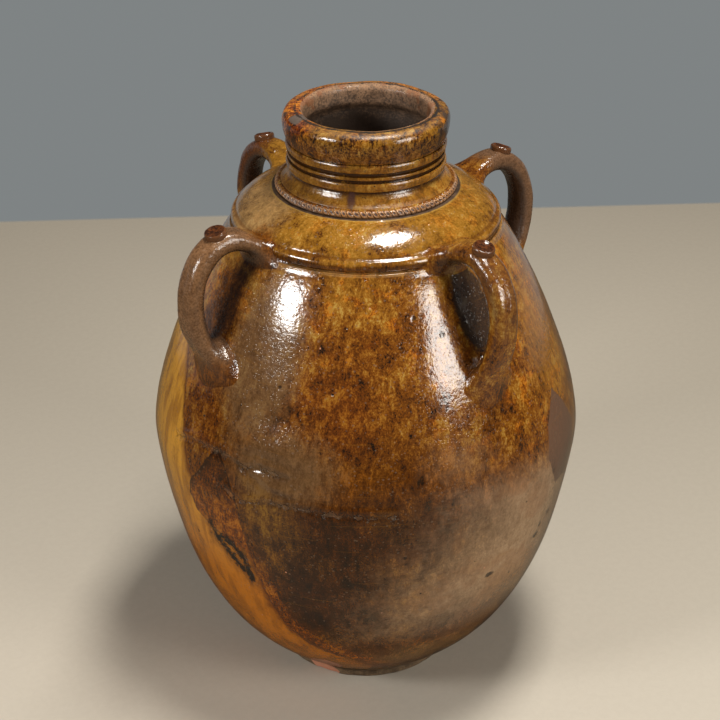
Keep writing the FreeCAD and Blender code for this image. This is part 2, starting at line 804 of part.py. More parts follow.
fill_sheet()
pieces = [
    make_foot(),
    make_lower_body(),
    make_upper_body(),
    make_shoulder(),
    make_neck(),
    make_rim(),
    make_rope_cordon(),
]
for side, turn in HANDLE_SIDES.items():
    pieces.append(make_handle(side, turn))
    pieces.append(make_button(side, turn))
check(pieces)
write(pieces)
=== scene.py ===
"""Looks of the glazed storage jar: turned walls, looped handles, cordon, glaze, floor, lights and camera."""

import itertools
import math

import bpy
import numpy as np
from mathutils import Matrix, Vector


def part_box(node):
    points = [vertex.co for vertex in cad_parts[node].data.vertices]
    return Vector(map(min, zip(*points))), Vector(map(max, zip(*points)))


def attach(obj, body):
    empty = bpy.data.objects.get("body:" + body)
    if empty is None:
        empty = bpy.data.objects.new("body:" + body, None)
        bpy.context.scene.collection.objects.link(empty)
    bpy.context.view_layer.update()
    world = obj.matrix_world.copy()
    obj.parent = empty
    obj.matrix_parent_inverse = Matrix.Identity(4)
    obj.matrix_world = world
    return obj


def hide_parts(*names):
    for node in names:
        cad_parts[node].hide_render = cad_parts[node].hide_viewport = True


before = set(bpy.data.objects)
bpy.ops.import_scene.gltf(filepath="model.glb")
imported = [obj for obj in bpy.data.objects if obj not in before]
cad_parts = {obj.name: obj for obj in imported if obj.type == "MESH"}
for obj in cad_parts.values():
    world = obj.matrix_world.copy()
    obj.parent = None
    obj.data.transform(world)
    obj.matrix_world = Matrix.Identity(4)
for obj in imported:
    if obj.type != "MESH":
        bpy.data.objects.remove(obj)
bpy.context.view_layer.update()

MM = 0.001
SEED = 11


def top_of(node):
    """Top of a node of the frame, in millimetres."""
    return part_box(node)[1].z / MM


def reach_of(node):
    """How far a node of the frame reaches along +X, in millimetres."""
    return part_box(node)[1].x / MM


# Levels and radii of the turned pieces, in millimetres, read from the frame
FOOT_HEIGHT = top_of("foot")
BELLY_HEIGHT = top_of("lower_body")
LEDGE_HEIGHT = top_of("upper_body")
COLLAR_HEIGHT = top_of("shoulder")
RIM_HEIGHT = top_of("neck")
CREST_HEIGHT = top_of("rim")
SEAT_RADIUS = reach_of("foot")
BELLY_RADIUS = reach_of("lower_body")
NECK_ROOT_RADIUS = reach_of("neck")
RIM_RADIUS = reach_of("rim")
ROPE_RADIUS = reach_of("rope_cordon")

# The other sizes of the turned pieces, in millimetres
FOOT_RADIUS = 93.5
FOOT_BAND_HEIGHT = 7.5
RECESS_RADIUS = 68.0
RECESS_DEPTH = 4.0
LEDGE_RADIUS = 135.0
WALL_AT_FOOT = 16.0
WALL_AT_BELLY = 10.5
WALL_AT_LEDGE = 15.0
BEAD_FOOT_RADIUS = 131.0
BEAD_SWELL = 3.2
BEAD_RISE = 12.8
DOME_TOP_RADIUS = 92.0
DOME_LIFT = 6.0
SHOULDER_WALL = 11.0
THROAT_RADIUS = 65.0
NECK_RADIUS = 76.0
ROPE_RISE = 7.4
ROPE_TOP = COLLAR_HEIGHT + ROPE_RISE
COVE_RISE = 12.6
RIDGE_GAP = 1.2
RIDGES = ((9.8, 2.7), (5.2, 1.6), (9.6, 3.0))
MOUTH_RADIUS = 60.5
CREST_RADIUS = 70.0
RIM_SEAT_RADIUS = 77.0
RIM_BULGE_RISE = 18.0
ARCH_SHARE = 0.75
OVERLAP = 1.0

# Handles, in millimetres
HANDLE_WIDTH = 28.4
HANDLE_THICKNESS = 23.2
HANDLE_HOLLOW = 1.1
FILLET_REACH = 20.0
UNDER_SPREAD = 14.0
ROOT_DEPTH = 0.6
BUTTON_RADIUS = 10.75
BUTTON_RISE = 3.2
BUTTON_HOLLOW = 1.7
BUTTON_SEAT = 3.0
BUTTON_SHARE = 0.29

# Rope cordon: beads round the neck, how far a bead leans, and how deep its pressed hollow and its cuts are
ROPE_BEADS = 92
ROPE_WIDTH = 6.2
ROPE_LEAN_SHARE = 0.60
ROPE_HOLLOW = 1.0
ROPE_CUT = 1.1

# Which way each handle points, in degrees from +X towards +Y
SIDES = {"front": -90.0, "right": 0.0, "back": 90.0, "left": 180.0}


# Noise and small measures

# The one random draw: values at the corners of the noise's cells
LATTICE = np.random.default_rng(SEED).uniform(-1.0, 1.0, 4096)


def lumps(points, width, seed=0):
    """Smooth noise from -1 to 1 at points (rows of x, y, z), with lumps about width across."""
    place = points / width
    cell = np.floor(place).astype(np.int64)
    inside = place - cell
    inside = inside * inside * (3.0 - 2.0 * inside)
    total = np.zeros(len(points))
    for corner in itertools.product((0, 1), repeat=3):
        at = cell + np.array(corner)
        key = at[:, 0] * 73856093 ^ at[:, 1] * 19349663 ^ at[:, 2] * 83492791 ^ (seed + 1) * 26544357
        weight = np.ones(len(points))
        for axis, side in enumerate(corner):
            weight = weight * (inside[:, axis] if side else 1.0 - inside[:, axis])
        total += weight * LATTICE[key & 4095]
    return total


def uneven(points, *layers):
    """Smooth noises added up, each given by how strong it is, how wide its lumps are, and a seed."""
    return sum(strength * lumps(points, width, seed) for strength, width, seed in layers)


def ease(value, low, high):
    """0 below low, 1 above high, and smooth between."""
    share = np.clip((value - low) / (high - low), 0.0, 1.0)
    return share * share * (3.0 - 2.0 * share)


def bend(points, share):
    """Place at a share of the smooth curve from the first to the last of four points, drawn out by the two
    between. A column of shares gives a row for each."""
    rest = 1.0 - share
    weights = (rest**3, 3.0 * rest**2 * share, 3.0 * rest * share**2, share**3)
    return sum(weight * np.array(point, float) for weight, point in zip(weights, points))


def trace(start, *runs):
    """Points of an outline from start. Each run is its end and its steps, with two points before them that
    draw it out if it is curved."""
    rows = []
    here = start
    for *pulls, end, steps in runs:
        shares = np.arange(steps)[:, None] / steps
        if pulls:
            rows.append(bend((here, *pulls, end), shares))
        else:
            rows.append(np.array(here, float) * (1.0 - shares) + np.array(end, float) * shares)
        here = end
    return np.vstack(rows + [[here]])


def unit(vectors):
    """Rows of vectors brought to length 1."""
    return vectors / np.maximum(np.linalg.norm(vectors, axis=1), 1e-9)[:, None]


class Surface:
    """Where the points of a piece are on the jar: azimuth in degrees from the front (-Y) towards the right
    (+X), radius and height in millimetres."""

    def __init__(self, points):
        self.points = points
        self.radius = np.hypot(points[:, 0], points[:, 1])
        self.azimuth = np.degrees(np.arctan2(points[:, 0], -points[:, 1]))
        self.height = points[:, 2]

    def turn_from(self, azimuth):
        """Degrees round from an azimuth, from -180 to 180."""
        return (self.azimuth - azimuth + 180.0) % 360.0 - 180.0

    def blob(self, azimuth, height, half_width, half_height):
        """1 at the middle of an oval patch, 0 at its edge and negative beyond."""
        across = np.radians(self.turn_from(azimuth)) * self.radius / half_width
        up = (self.height - height) / half_height
        return 1.0 - np.hypot(across, up)

    def most(self, ovals):
        """The largest of several oval patches, each with its weight before its place and size."""
        return np.max([weight * self.blob(*oval) for weight, *oval in ovals], 0)

    def offsets(self, places):
        """Distances across and up to each of places in turn, measured round from the middle of them all."""
        middle = sum(azimuth for azimuth, up in places) / len(places)
        turn = self.turn_from(middle)
        for azimuth, up in places:
            yield np.stack((np.radians(azimuth - middle - turn) * self.radius, up - self.height), 1)

    def line(self, places):
        """Distance from the broken line through places, each an azimuth and a height."""
        nearest = np.full(len(self.points), 1e6)
        for from_start, from_end in itertools.pairwise(self.offsets(places)):
            along = from_end - from_start
            length = np.maximum((along**2).sum(1), 1e-9)
            share = np.clip(-(from_start * along).sum(1) / length, 0.0, 1.0)
            gap = from_start + along * share[:, None]
            nearest = np.minimum(nearest, np.hypot(gap[:, 0], gap[:, 1]))
        return nearest

    def patch(self, places):
        """Distance inside (positive) or outside (negative) the closed outline through places."""
        closed = list(places) + [places[0]]
        inside = np.zeros(len(self.points), bool)
        for start, end in itertools.pairwise(self.offsets(closed)):
            start_across, start_up = start.T
            end_across, end_up = end.T
            crosses = (start_up > 0.0) != (end_up > 0.0)
            rise = np.where(np.abs(end_up - start_up) < 1e-9, 1e-9, end_up - start_up)
            meets = start_across - start_up * (end_across - start_across) / rise
            inside ^= crosses & (meets > 0.0)
        gap = self.line(closed)
        return np.where(inside, gap, -gap)


# Marks in the glaze and in the clay, as azimuth and height. Patches are closed outlines, lines are open.
OCHRE_RUN = (
    (-118, 447), (-112, 430), (-107, 408), (-102, 385), (-98, 362), (-94, 337), (-92, 309), (-90, 288),
    (-84, 268), (-72, 258), (-70.4, 247), (-69.4, 227), (-68.3, 208), (-67.5, 187), (-66.2, 150), (-64, 134),
    (-58.5, 112), (-54, 98), (-46, 84), (-38, 66), (-32, 50), (-34, 20), (-60, 20), (-100, 20), (-124, 30),
    (-131, 60), (-134, 96), (-139, 132), (-143, 166), (-144, 200), (-140, 230), (-136, 258), (-136, 286),
    (-140, 312), (-143, 340), (-140, 372), (-135, 398), (-132, 420), (-130, 440), (-125, 450),
)
TONGUE = (
    (-80.2, 329), (-77.2, 320), (-74.5, 304), (-72.7, 291), (-71.1, 269), (-70.4, 245), (-69.2, 222),
    (-68.2, 192), (-70.5, 186), (-72, 205), (-74, 218), (-79, 228), (-84, 236), (-88.5, 245), (-90.5, 262),
    (-89.5, 280), (-86.1, 295), (-82.8, 316),
)
CRUST = ((-83, 238), (-81, 229), (-76, 225), (-73, 214), (-71.5, 198), (-71, 184))
LOW_CRUST = ((-82, 226), (-78, 214), (-76, 203), (-73, 194))
BROWN_PATCH = ((-96, 385), (-97, 350), (-94, 322), (-82, 326), (-80, 360), (-88, 385))
WEDGE = ((26.5, 358), (20, 328), (18, 296), (24, 256), (33, 250), (37, 306), (31, 338))
SMOOTH_BROWN = (
    (-72, 322), (-54, 318), (-44, 306), (-34, 318), (-24, 322), (-14, 300), (0, 282), (14, 262), (30, 236),
    (44, 180), (40, 120), (20, 100), (-20, 104), (-52, 100), (-60, 112), (-66, 150), (-70, 220), (-73, 270),
)
FOOT_CHIP = ((-70, -2), (-77, 6), (-78, 17), (-70, 18), (-64, 14), (-59, 8), (-55, 3), (-56, -2))
CHIP_ABOVE = ((-64, 36), (-63, 48), (-59, 56), (-54, 60), (-50, 54), (-48, 44), (-50, 34))
SEAM_FOLD = ((-97, 316), (-88, 323), (-81, 325), (-76, 325), (-71, 320), (-66, 325), (-58, 321))
SEAM_BRANCH = ((-71, 320), (-66, 312), (-62, 304), (-57, 302))
LOW_FOLD = ((-76, 292), (-70, 284), (-62, 292), (-54, 293), (-44, 290), (-30, 289))
# Line along the pale right side, a paler glaze with a painted reflection of the floor
PALE_SHEEN_SIDE = ((24, 296), (19, 262), (14, 215), (8, 172), (2, 142))
SCRATCH = ((-44, 315), (-37.6, 320), (-31, 325), (-26, 330))
PITS = (
    (0, 184, 3.4), (24, 219, 3.0), (20, 211, 2.4), (19, 200, 3.2), (21.6, 277, 2.0), (-12, 447, 2.2),
    (-21, 465, 2.0), (-40, 420, 1.6), (-63, 402, 1.6), (-27, 238, 2.2), (62, 260, 2.6), (118, 300, 3.0),
    (150, 210, 2.4), (-160, 340, 2.4), (-140, 250, 2.8),
)
PATCHES = {
    "ochre": OCHRE_RUN,
    "tongue": TONGUE,
    "brown": BROWN_PATCH,
    "wedge": WEDGE,
    "smooth": SMOOTH_BROWN,
}

# Soft oval patches: weight, azimuth, height, half width and half height
OVALS = {
    "warm": ((1.0, -43, 385, 70, 75), (0.7, 0, 318, 40, 26), (1.0, 150, 360, 110, 80)),
    # Grey film on the left flank, partly a painted sheen: the halo round the left highlight and the light
    # caught by the swell's upper slope
    "film": ((1.3, -71, 418, 50, 92), (1.0, -60, 330, 70, 44), (1.0, 95, 350, 80, 70)),
    # Painted sheen: a greyish patch on the left of the dome
    "bloom": ((1.0, -108, 526, 66, 26),),
    "hem": ((1.0, -14, 76, 100, 36),),
    # Darker brown glaze with a painted shadow of the left handle, on the wall seen through its loop
    "shade": ((1.0, -94, 450, 34, 58), (1.0, -88, 505, 30, 26)),
    # Painted shadow: a dark charcoal oval on the wall behind the front handle, where the handle shades it
    "scorch": ((1.0, 2, 461, 23, 44),),
    # Painted light: a lighter gold patch on the right flank
    "sunny": ((1.0, 34, 400, 82, 130),),
    "pit": [(1.0, azimuth, up, size * 1.8, size * 1.4) for azimuth, up, size in PITS],
}
# Ovals of the pale right side: a paler glaze with a painted reflection of the floor, and a weaker painted
# sheen below the right highlight
PALE_SHEEN_OVALS = ((1.0, 70, 210, 150, 110), (0.5, -12, 334, 60, 38))

# Folds of the clay near the belly seam: where they run, how deep and how wide they are
FOLDS = ((SEAM_FOLD, 1.6, 3.0), (SEAM_BRANCH, 1.2, 3.0), (LOW_FOLD, 1.1, 3.0))

# Unevenness of the thrown wall, and the fine rings that turning leaves
THROWING = ((0.9, 120.0, 1), (0.40, 38.0, 2), (0.10, 13.0, 3))
TURNING = ((0.06, 11.0, 4), (0.02, 5.0, 5))
TURNING_SQUEEZE = 0.15

# How much the corner at the belly seam is rubbed off, and how far from the seam
SEAM_RUB = 0.085
SEAM_REACH = 18.0

# A swell under the left handle and the hollow above it, as azimuth, height, half width and half height
SWELL = (-62, 347, 64, 22)
SWELL_HOLLOW = (-62, 376, 60, 12)


def wall_relief(surface):
    """How far the thrown wall stands out from its true outline, in millimetres, mostly inwards."""
    points = surface.points
    level = points * (TURNING_SQUEEZE, TURNING_SQUEEZE, 1.0)
    relief = uneven(points, *THROWING) + uneven(level, *TURNING) - 0.9
    from_seam = np.abs(surface.height - BELLY_HEIGHT)
    relief -= SEAM_RUB * (np.hypot(from_seam, SEAM_REACH) - from_seam)
    relief += 3.2 * np.maximum(surface.blob(*SWELL), 0.0) ** 1.1
    relief -= 0.5 * np.maximum(surface.blob(*SWELL_HOLLOW), 0.0)
    for places, depth, width in FOLDS:
        crease = surface.line(places) + 1.4 * lumps(points, 9.0, 6)
        relief -= depth * np.exp(-((crease / width) ** 2))
        above = surface.line([(azimuth, up + 5.0) for azimuth, up in places])
        relief += 0.8 * depth * np.exp(-((above / (width * 1.2)) ** 2))
    for azimuth, up, size in PITS:
        hole = np.maximum(surface.blob(azimuth, up, size * 1.5, size * 1.2), 0.0)
        relief -= 0.8 * np.sqrt(hole)
    return relief


def clipped(distance, low=-9.0, high=9.0):
    """A distance in millimetres turned into centimetres and kept within bounds."""
    return np.clip(distance * 0.1, low, high)


def zones(surface):
    """Smooth fields that tell the glaze where its patches lie. Distances are in centimetres."""
    dome = ease(surface.height, LEDGE_HEIGHT + 24.0, LEDGE_HEIGHT + 28.0)
    # Limits of the pale right side, a paler glaze with a painted reflection of the floor
    pale_sheen_limits = (
        1.3 - surface.line(PALE_SHEEN_SIDE) / 140.0,
        (324.0 - surface.height) / 54.0,
        (surface.height - 82.0) / 100.0,
    )
    crust_gap = np.minimum(surface.line(CRUST), surface.line(LOW_CRUST))
    fields = {name: clipped(surface.patch(places)) for name, places in PATCHES.items()}
    fields |= {name: surface.most(ovals) for name, ovals in OVALS.items()}
    fields |= {
        # Painted shadow in the small groove under the cordon, and a painted highlight line on the low ridge
        # below it
        "ring": dome * np.exp(-(((surface.radius - ROPE_RADIUS - 0.5) / 0.8) ** 2)),
        "ridge": dome * np.exp(-(((surface.radius - ROPE_RADIUS - 3.0) / 0.8) ** 2)),
        "chip": clipped(np.maximum(surface.patch(FOOT_CHIP), surface.patch(CHIP_ABOVE))),
        "scratch": clipped(surface.line(SCRATCH), 0.0),
        "pale": np.maximum(np.minimum.reduce(pale_sheen_limits), surface.most(PALE_SHEEN_OVALS)),
        "fold": clipped(np.minimum(surface.line(SEAM_FOLD), surface.line(LOW_FOLD)), 0.0, 2.0),
        "crust": 1.0 - np.clip(crust_gap / 11.0, 0.0, 3.0),
    }
    return fields


def mouth_zones(surface):
    """Fields of the neck and rim: their inner side, the grooves, and marks on the lip."""
    behind = ease(np.cos(np.radians(surface.azimuth - 143.0)), -0.2, 0.5)
    glazed = ease(np.cos(np.radians(surface.azimuth + 112.0)), 0.3, 0.9)
    clay_radius = MOUTH_RADIUS + 3.0 + 1.5 * behind - 3.0 * glazed
    lip = 1.0 - ease(surface.radius, clay_radius, clay_radius + 4.5)
    edge_radius = MOUTH_RADIUS + 8.7 - 1.7 * behind
    throat = 1.0 - ease(surface.radius, THROAT_RADIUS + 1.5, THROAT_RADIUS + 5.0)
    below = 1.0 - ease(surface.height, RIM_HEIGHT + 8.0, RIM_HEIGHT + 14.0)
    below_rim = 1.0 - ease(surface.height, RIM_HEIGHT, RIM_HEIGHT + 1.5)
    above_rope = ease(surface.height, ROPE_TOP + COVE_RISE * 0.7, ROPE_TOP + COVE_RISE)
    on_top = ease(surface.height, CREST_HEIGHT - 9.0, CREST_HEIGHT - 3.0)
    low_cove = 0.5 - 0.5 * ease(surface.height, ROPE_TOP + 1.5, ROPE_TOP + 4.0)
    blackened = surface.most(((1.0, 42, 606, 48, 18), (1.0, -160, 614, 16, 6), (1.0, -118, 614, 9, 4)))
    off_ridge = 1.0 - ease(surface.radius, NECK_RADIUS + 0.2, NECK_RADIUS + 1.6)
    return {
        "inside": np.maximum(lip, throat * below),
        "groove": off_ridge * below_rim * above_rope,
        "inner_lip": on_top * np.exp(-(((surface.radius - edge_radius) / 2.2) ** 2)) * (1.0 - 0.25 * behind),
        "red": surface.most(((1.4, -142, 605, 105, 30), (1.0, -100, 612, 45, 12))),
        "black": np.maximum(blackened, 0.52 * behind * on_top),
        "matte": np.maximum(ease(surface.height, CREST_HEIGHT - 5.5, CREST_HEIGHT - 2.5), low_cove),
        "worn": surface.blob(-101, 616, 13, 4) * on_top,
        "spot": np.maximum(surface.blob(31, 614, 7, 4), 0.42 * behind * on_top),
        "stain": surface.blob(-48, 552, 7, 16),
    }


def add_object(name, data):
    """Adds an object that shows data to the scene, and returns it."""
    added = bpy.data.objects.new(name, data)
    bpy.context.scene.collection.objects.link(added)
    return added


def make_piece(node, vertices, faces, material, fields):
    """Adds one finished mesh, in metres, that stands for a node of the frame."""
    name = f"{node}_clay"
    mesh = bpy.data.meshes.new(name)
    mesh.from_pydata((vertices * MM).tolist(), [], faces)
    mesh.validate()
    mesh.update()
    mesh.polygons.foreach_set("use_smooth", [True] * len(mesh.polygons))
    mesh.set_sharp_from_angle(angle=math.radians(50.0))
    for label, values in fields.items():
        attribute = mesh.attributes.new(label, "FLOAT", "POINT")
        attribute.data.foreach_set("value", values.astype(np.float32))
    mesh.materials.append(material)
    piece = add_object(name, mesh)
    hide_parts(node)
    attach(piece, "root")


def ring_faces(rows, around, wraps):
    """Faces between rows of around vertices each. With wraps the last row joins the first again."""
    faces = []
    for row in range(rows if wraps else rows - 1):
        this = row * around
        following = ((row + 1) % rows) * around
        for column in range(around):
            beside = (column + 1) % around
            faces.append((this + column, this + beside, following + beside, following + column))
    return faces


def turn_outline(outline, segments):
    """Vertices and faces of a closed upright outline turned round the axis. An outline that starts and ends
    on the axis closes there."""
    on_axis = outline[0][0] < 1e-6
    ring_rows = outline[1:-1] if on_axis else outline
    count = len(ring_rows)
    turns = np.tile(np.arange(segments) * (2.0 * math.pi / segments), count)
    radii, heights = np.repeat(ring_rows, segments, 0).T
    vertices = np.stack((radii * np.sin(turns), -radii * np.cos(turns), heights), 1)
    faces = ring_faces(count, segments, not on_axis)
    if on_axis:
        first = len(vertices)
        vertices = np.vstack((vertices, [[0, 0, outline[0][1]], [0, 0, outline[-1][1]]]))
        end = (count - 1) * segments
        for column in range(segments):
            beside = (column + 1) % segments
            faces.append((first, beside, column))
            faces.append((end + column, end + beside, first + 1))
    return vertices, faces


def outward(outline):
    """Unit normals of a closed outline that runs up its outer side and down its inner side."""
    ahead = np.roll(outline, -1, 0) - np.roll(outline, 1, 0)
    return unit(np.stack((ahead[:, 1], -ahead[:, 0]), 1))


def turned(node, outline, segments, material, relief, inner_rows, fields=zones, sideways=False):
    """Makes a turned piece. relief moves its outer points, and the last inner_rows rows only wobble a
    little. With sideways the points only move level, so that pieces that share a seam still meet there."""
    vertices, faces = turn_outline(outline, segments)
    surface = Surface(vertices)
    on_axis = outline[0][0] < 1e-6
    normals = outward(outline)
    if on_axis:
        normals = normals[1:-1]
    normals = np.repeat(normals, segments, 0)
    rows = np.repeat(np.arange(len(normals) // segments), segments)
    if on_axis:
        normals = np.vstack((normals, [[0.0, 0.0], [0.0, 0.0]]))
        rows = np.append(rows, (0, rows.max()))
    move = relief(surface)
    inner = rows >= rows.max() + 1 - inner_rows
    move = np.where(inner, 0.5 * lumps(vertices, 30.0, 8), move)
    if sideways:
        normals = np.stack((np.where(inner, -1.0, 1.0), np.zeros(len(normals))), 1)
    out = vertices[:, :2] / np.maximum(surface.radius, 1e-6)[:, None]
    moved = vertices.copy()
    moved[:, :2] += out * (normals[:, 0] * move)[:, None]
    moved[:, 2] += normals[:, 1] * move
    values = fields(surface)
    values["lining"] = inner.astype(float)
    make_piece(node, moved, faces, material, values)


# Materials

PLAIN_INPUTS = {
    "ior": "IOR",
    "coat_weight": "Coat Weight",
    "coat_roughness": "Coat Roughness",
    "coat_ior": "Coat IOR",
}


class Nodes:
    """Short calls that add the nodes of one material. Its colour is the base colour laid down so far."""

    def __init__(self, name):
        self.material = bpy.data.materials.new(name)
        self.material.use_nodes = True
        self.tree = self.material.node_tree
        self.shader = self.tree.nodes["Principled BSDF"]
        self.coordinates = self.add("TexCoord")["Object"]
        self.colour = None

    def put(self, value, socket):
        """Links a socket, or sets a plain value."""
        if isinstance(value, bpy.types.NodeSocket):
            self.tree.links.new(value, socket)
        elif socket.type == "RGBA":
            socket.default_value = (*value, 1.0)
        else:
            socket.default_value = value

    def add(self, kind, inputs=None, **settings):
        """Adds a node with its settings and its inputs, by name or number, and returns its outputs."""
        node = self.tree.nodes.new(f"ShaderNode{kind}")
        for name, value in settings.items():
            setattr(node, name, value)
        for place, value in (inputs or {}).items():
            self.put(value, node.inputs[place])
        return node.outputs

    def stretch(self, across, up):
        """Coordinates squeezed sideways and upright, for streaks."""
        return self.add("Mapping", {"Vector": self.coordinates, "Scale": (across, across, up)})["Vector"]

    def noise(self, width, detail=3.0, roughness=0.55, distortion=0.0, vector=None):
        """Noise round 0.5 whose lumps are about width millimetres across."""
        inputs = {"Vector": vector or self.coordinates, "Scale": 1.0 / (width * MM)}
        inputs |= {"Detail": detail, "Roughness": roughness, "Distortion": distortion}
        return self.add("TexNoise", inputs)["Fac"]

    def cells(self, width, vector=None):
        """Distance from the middles of random cells, about width millimetres apart."""
        inputs = {"Vector": vector or self.coordinates, "Scale": 1.0 / (width * MM)}
        return self.add("TexVoronoi", inputs)["Distance"]

    def field(self, name):
        """A field of the mesh, as zones and the other field functions make them."""
        return self.add("Attribute", attribute_name=name)["Fac"]

    def height(self):
        """Height above the floor, in metres."""
        return self.add("SeparateXYZ", {"Vector": self.coordinates})["Z"]

    def times(self, first, *others):
        """Product of sockets and plain numbers."""
        for factor in others:
            first = self.add("Math", {0: first, 1: factor}, operation="MULTIPLY")["Value"]
        return first

    def weigh(self, *parts):
        """Sum of sockets, each multiplied by its weight."""
        total = 0.0
        for socket, weight in parts:
            total = self.add("Math", {0: socket, 1: weight, 2: total}, operation="MULTIPLY_ADD")["Value"]
        return total

    def between(self, value, low, high, bottom=0.0, top=1.0):
        """Runs smoothly from bottom to top as value goes from low to high."""
        inputs = {"Value": value, "From Min": low, "From Max": high, "To Min": bottom, "To Max": top}
        return self.add("MapRange", inputs, interpolation_type="SMOOTHSTEP")["Result"]

    def share(self, low, high, *parts, bottom=0.0, top=1.0):
        """Runs smoothly from bottom to top as the weighed sum of parts goes from low to high."""
        return self.between(self.weigh(*parts), low, high, bottom, top)

    def zone(self, name, low, high, *noises, top=1.0):
        """0 to top inside a field of the mesh, with its edge broken up by noises."""
        return self.share(low, high, (self.field(name), 1.0), *noises, top=top)

    def spread(self, noise, reach, middle=0.5):
        """Stretches noise evenly, so that middle - reach becomes 0 and middle + reach becomes 1."""
        inputs = {"Value": noise, "From Min": middle - reach, "From Max": middle + reach}
        return self.add("MapRange", inputs)["Result"]

    def band(self, rising, falling, levels, share):
        """share between two levels of rising and falling, with a soft edge on either side."""
        start, full, ended, fading = levels
        return self.times(self.between(rising, start, full), self.between(falling, ended, fading), share)

    def mix(self, share, first, second):
        """Colour that goes from first to second with share."""
        return self.add("Mix", {"Factor": share, 6: first, 7: second}, data_type="RGBA")[2]

    def lay(self, share, over):
        """Lays a colour over what is there so far."""
        self.colour = self.mix(share, self.colour, over)

    def ramp(self, value, stops):
        """Colour that runs through stops, each a place and a colour."""
        node = self.tree.nodes.new("ShaderNodeValToRGB")
        self.put(value, node.inputs["Fac"])
        elements = node.color_ramp.elements
        while len(elements) < len(stops):
            elements.new(1.0)
        for element, (place, colour) in zip(elements, stops):
            element.position = place
            element.color = (*colour, 1.0)
        return node.outputs["Color"]

    def bumps(self, *parts):
        """Bumps laid over each other, each a height and how many millimetres its full height is."""
        below = {}
        for height, distance in parts:
            inputs = {"Height": height, "Distance": distance * MM, **below}
            below = {"Normal": self.add("Bump", inputs)["Normal"]}
        return below["Normal"]

    def finish(self, roughness, normal, **plain):
        """Fills the shader's inputs. The values in plain are constants."""
        linked = {"Base Color": self.colour, "Roughness": roughness, "Normal": normal, "Coat Normal": normal}
        for name, value in linked.items():
            self.put(value, self.shader.inputs[name])
        for name, value in plain.items():
            self.put(value, self.shader.inputs[PLAIN_INPUTS[name]])
        return self.material


# Colours of the glaze and the clay, as linear red, green and blue
SOOT = (0.016, 0.008, 0.004)
DREGS = (0.036, 0.011, 0.002)
UMBER = (0.066, 0.019, 0.003)
CHESTNUT = (0.098, 0.030, 0.004)
RUST = (0.135, 0.035, 0.004)
HONEY = (0.195, 0.060, 0.005)
AMBER = (0.27, 0.088, 0.008)
EMBER = (0.24, 0.060, 0.005)
GOLD = (0.34, 0.150, 0.018)
STRAW = (0.44, 0.26, 0.055)
BRONZE = (0.15, 0.058, 0.006)
BRASS = (0.26, 0.120, 0.012)
OLIVE = (0.070, 0.028, 0.006)
OCHRE = (0.72, 0.34, 0.034)
ORANGE = (0.60, 0.195, 0.009)
PURPLE = (0.145, 0.074, 0.044)
BARE = (0.60, 0.27, 0.160)
# Colour of the painted shadow on the wall behind the front handle
PAINTED_SHADOW_CHARCOAL = (0.030, 0.021, 0.016)
# Colour of the painted highlight along the ledge's edge
EDGE_GLINT = (0.46, 0.26, 0.10)
DUST = (0.22, 0.16, 0.11)
# Colour of the painted highlight glints on the folds
CREASE_GLINT = (0.36, 0.25, 0.16)
FILM = (0.205, 0.112, 0.047)
ASH_STAIN = (0.25, 0.105, 0.038)
HANDLE_INNER = (0.034, 0.022, 0.017)
# Colour of the pale smears on the handles, a painted reflection
HANDLE_SMEAR_SHEEN = (0.24, 0.17, 0.12)
GRIME = (0.045, 0.028, 0.019)
BEAD_HOLLOW = (0.095, 0.058, 0.046)
BEAD_CUT = (0.045, 0.022, 0.012)
BUTTON_EDGE = (0.125, 0.050, 0.020)

# Pairs of colours that the mottle or another noise mixes
# Grey-brown film, partly a painted sheen
FILM_AND_SHEEN_PAIR = ((0.100, 0.045, 0.014), FILM)
# Colours of the pale right side, partly a painted reflection of the floor
ASH_SHEEN_PAIR = ((0.33, 0.20, 0.105), (0.54, 0.365, 0.220))
HEM_PAIR = ((0.13, 0.055, 0.012), (0.40, 0.22, 0.075))
# Colours of the painted sheen on the dome
DOME_SHEEN_PAIR = ((0.15, 0.080, 0.028), (0.40, 0.24, 0.095))
LINING_PAIR = ((0.044, 0.026, 0.017), (0.105, 0.064, 0.039))
# Inner throat: pinkish near the lip, dark deep down as painted shade
THROAT_SHADE_PAIR = ((0.062, 0.037, 0.023), (0.36, 0.200, 0.105))
CORDON_PAIR = ((0.27, 0.155, 0.095), (0.34, 0.155, 0.050))
CORDON_EDGE_PAIR = ((0.76, 0.51, 0.33), (0.60, 0.28, 0.10))
BUTTON_PAIR = ((0.030, 0.011, 0.006), (0.12, 0.036, 0.010))
FOOT_PAIR = ((0.088, 0.055, 0.030), (0.23, 0.148, 0.080))

# Mottle of the glaze, from its dark grains to its light ones, in each part of the jar
DOME_MOTTLE = ((0.0, UMBER), (0.20, BRONZE), (0.50, BRASS), (0.80, GOLD), (1.0, STRAW))
FLANK_MOTTLE = ((0.0, SOOT), (0.20, CHESTNUT), (0.50, HONEY), (0.80, GOLD), (1.0, STRAW))
EMBER_MOTTLE = ((0.0, SOOT), (0.20, RUST), (0.50, EMBER), (0.80, ORANGE), (1.0, GOLD))
RUST_MOTTLE = ((0.0, SOOT), (0.20, UMBER), (0.50, RUST), (0.80, AMBER), (1.0, GOLD))
BELLY_MOTTLE = ((0.0, SOOT), (0.22, UMBER), (0.50, CHESTNUT), (0.84, HONEY), (1.0, AMBER))
LOW_MOTTLE = ((0.0, SOOT), (0.25, DREGS), (0.50, UMBER), (0.75, CHESTNUT), (1.0, AMBER))
DREG_MOTTLE = ((0.0, SOOT), (0.25, DREGS), (0.50, OLIVE), (0.80, BRONZE), (1.0, BRASS))
LIP_MOTTLE = ((0.0, SOOT), (0.32, (0.15, 0.022, 0.002)), (0.6, EMBER), (0.85, ORANGE))

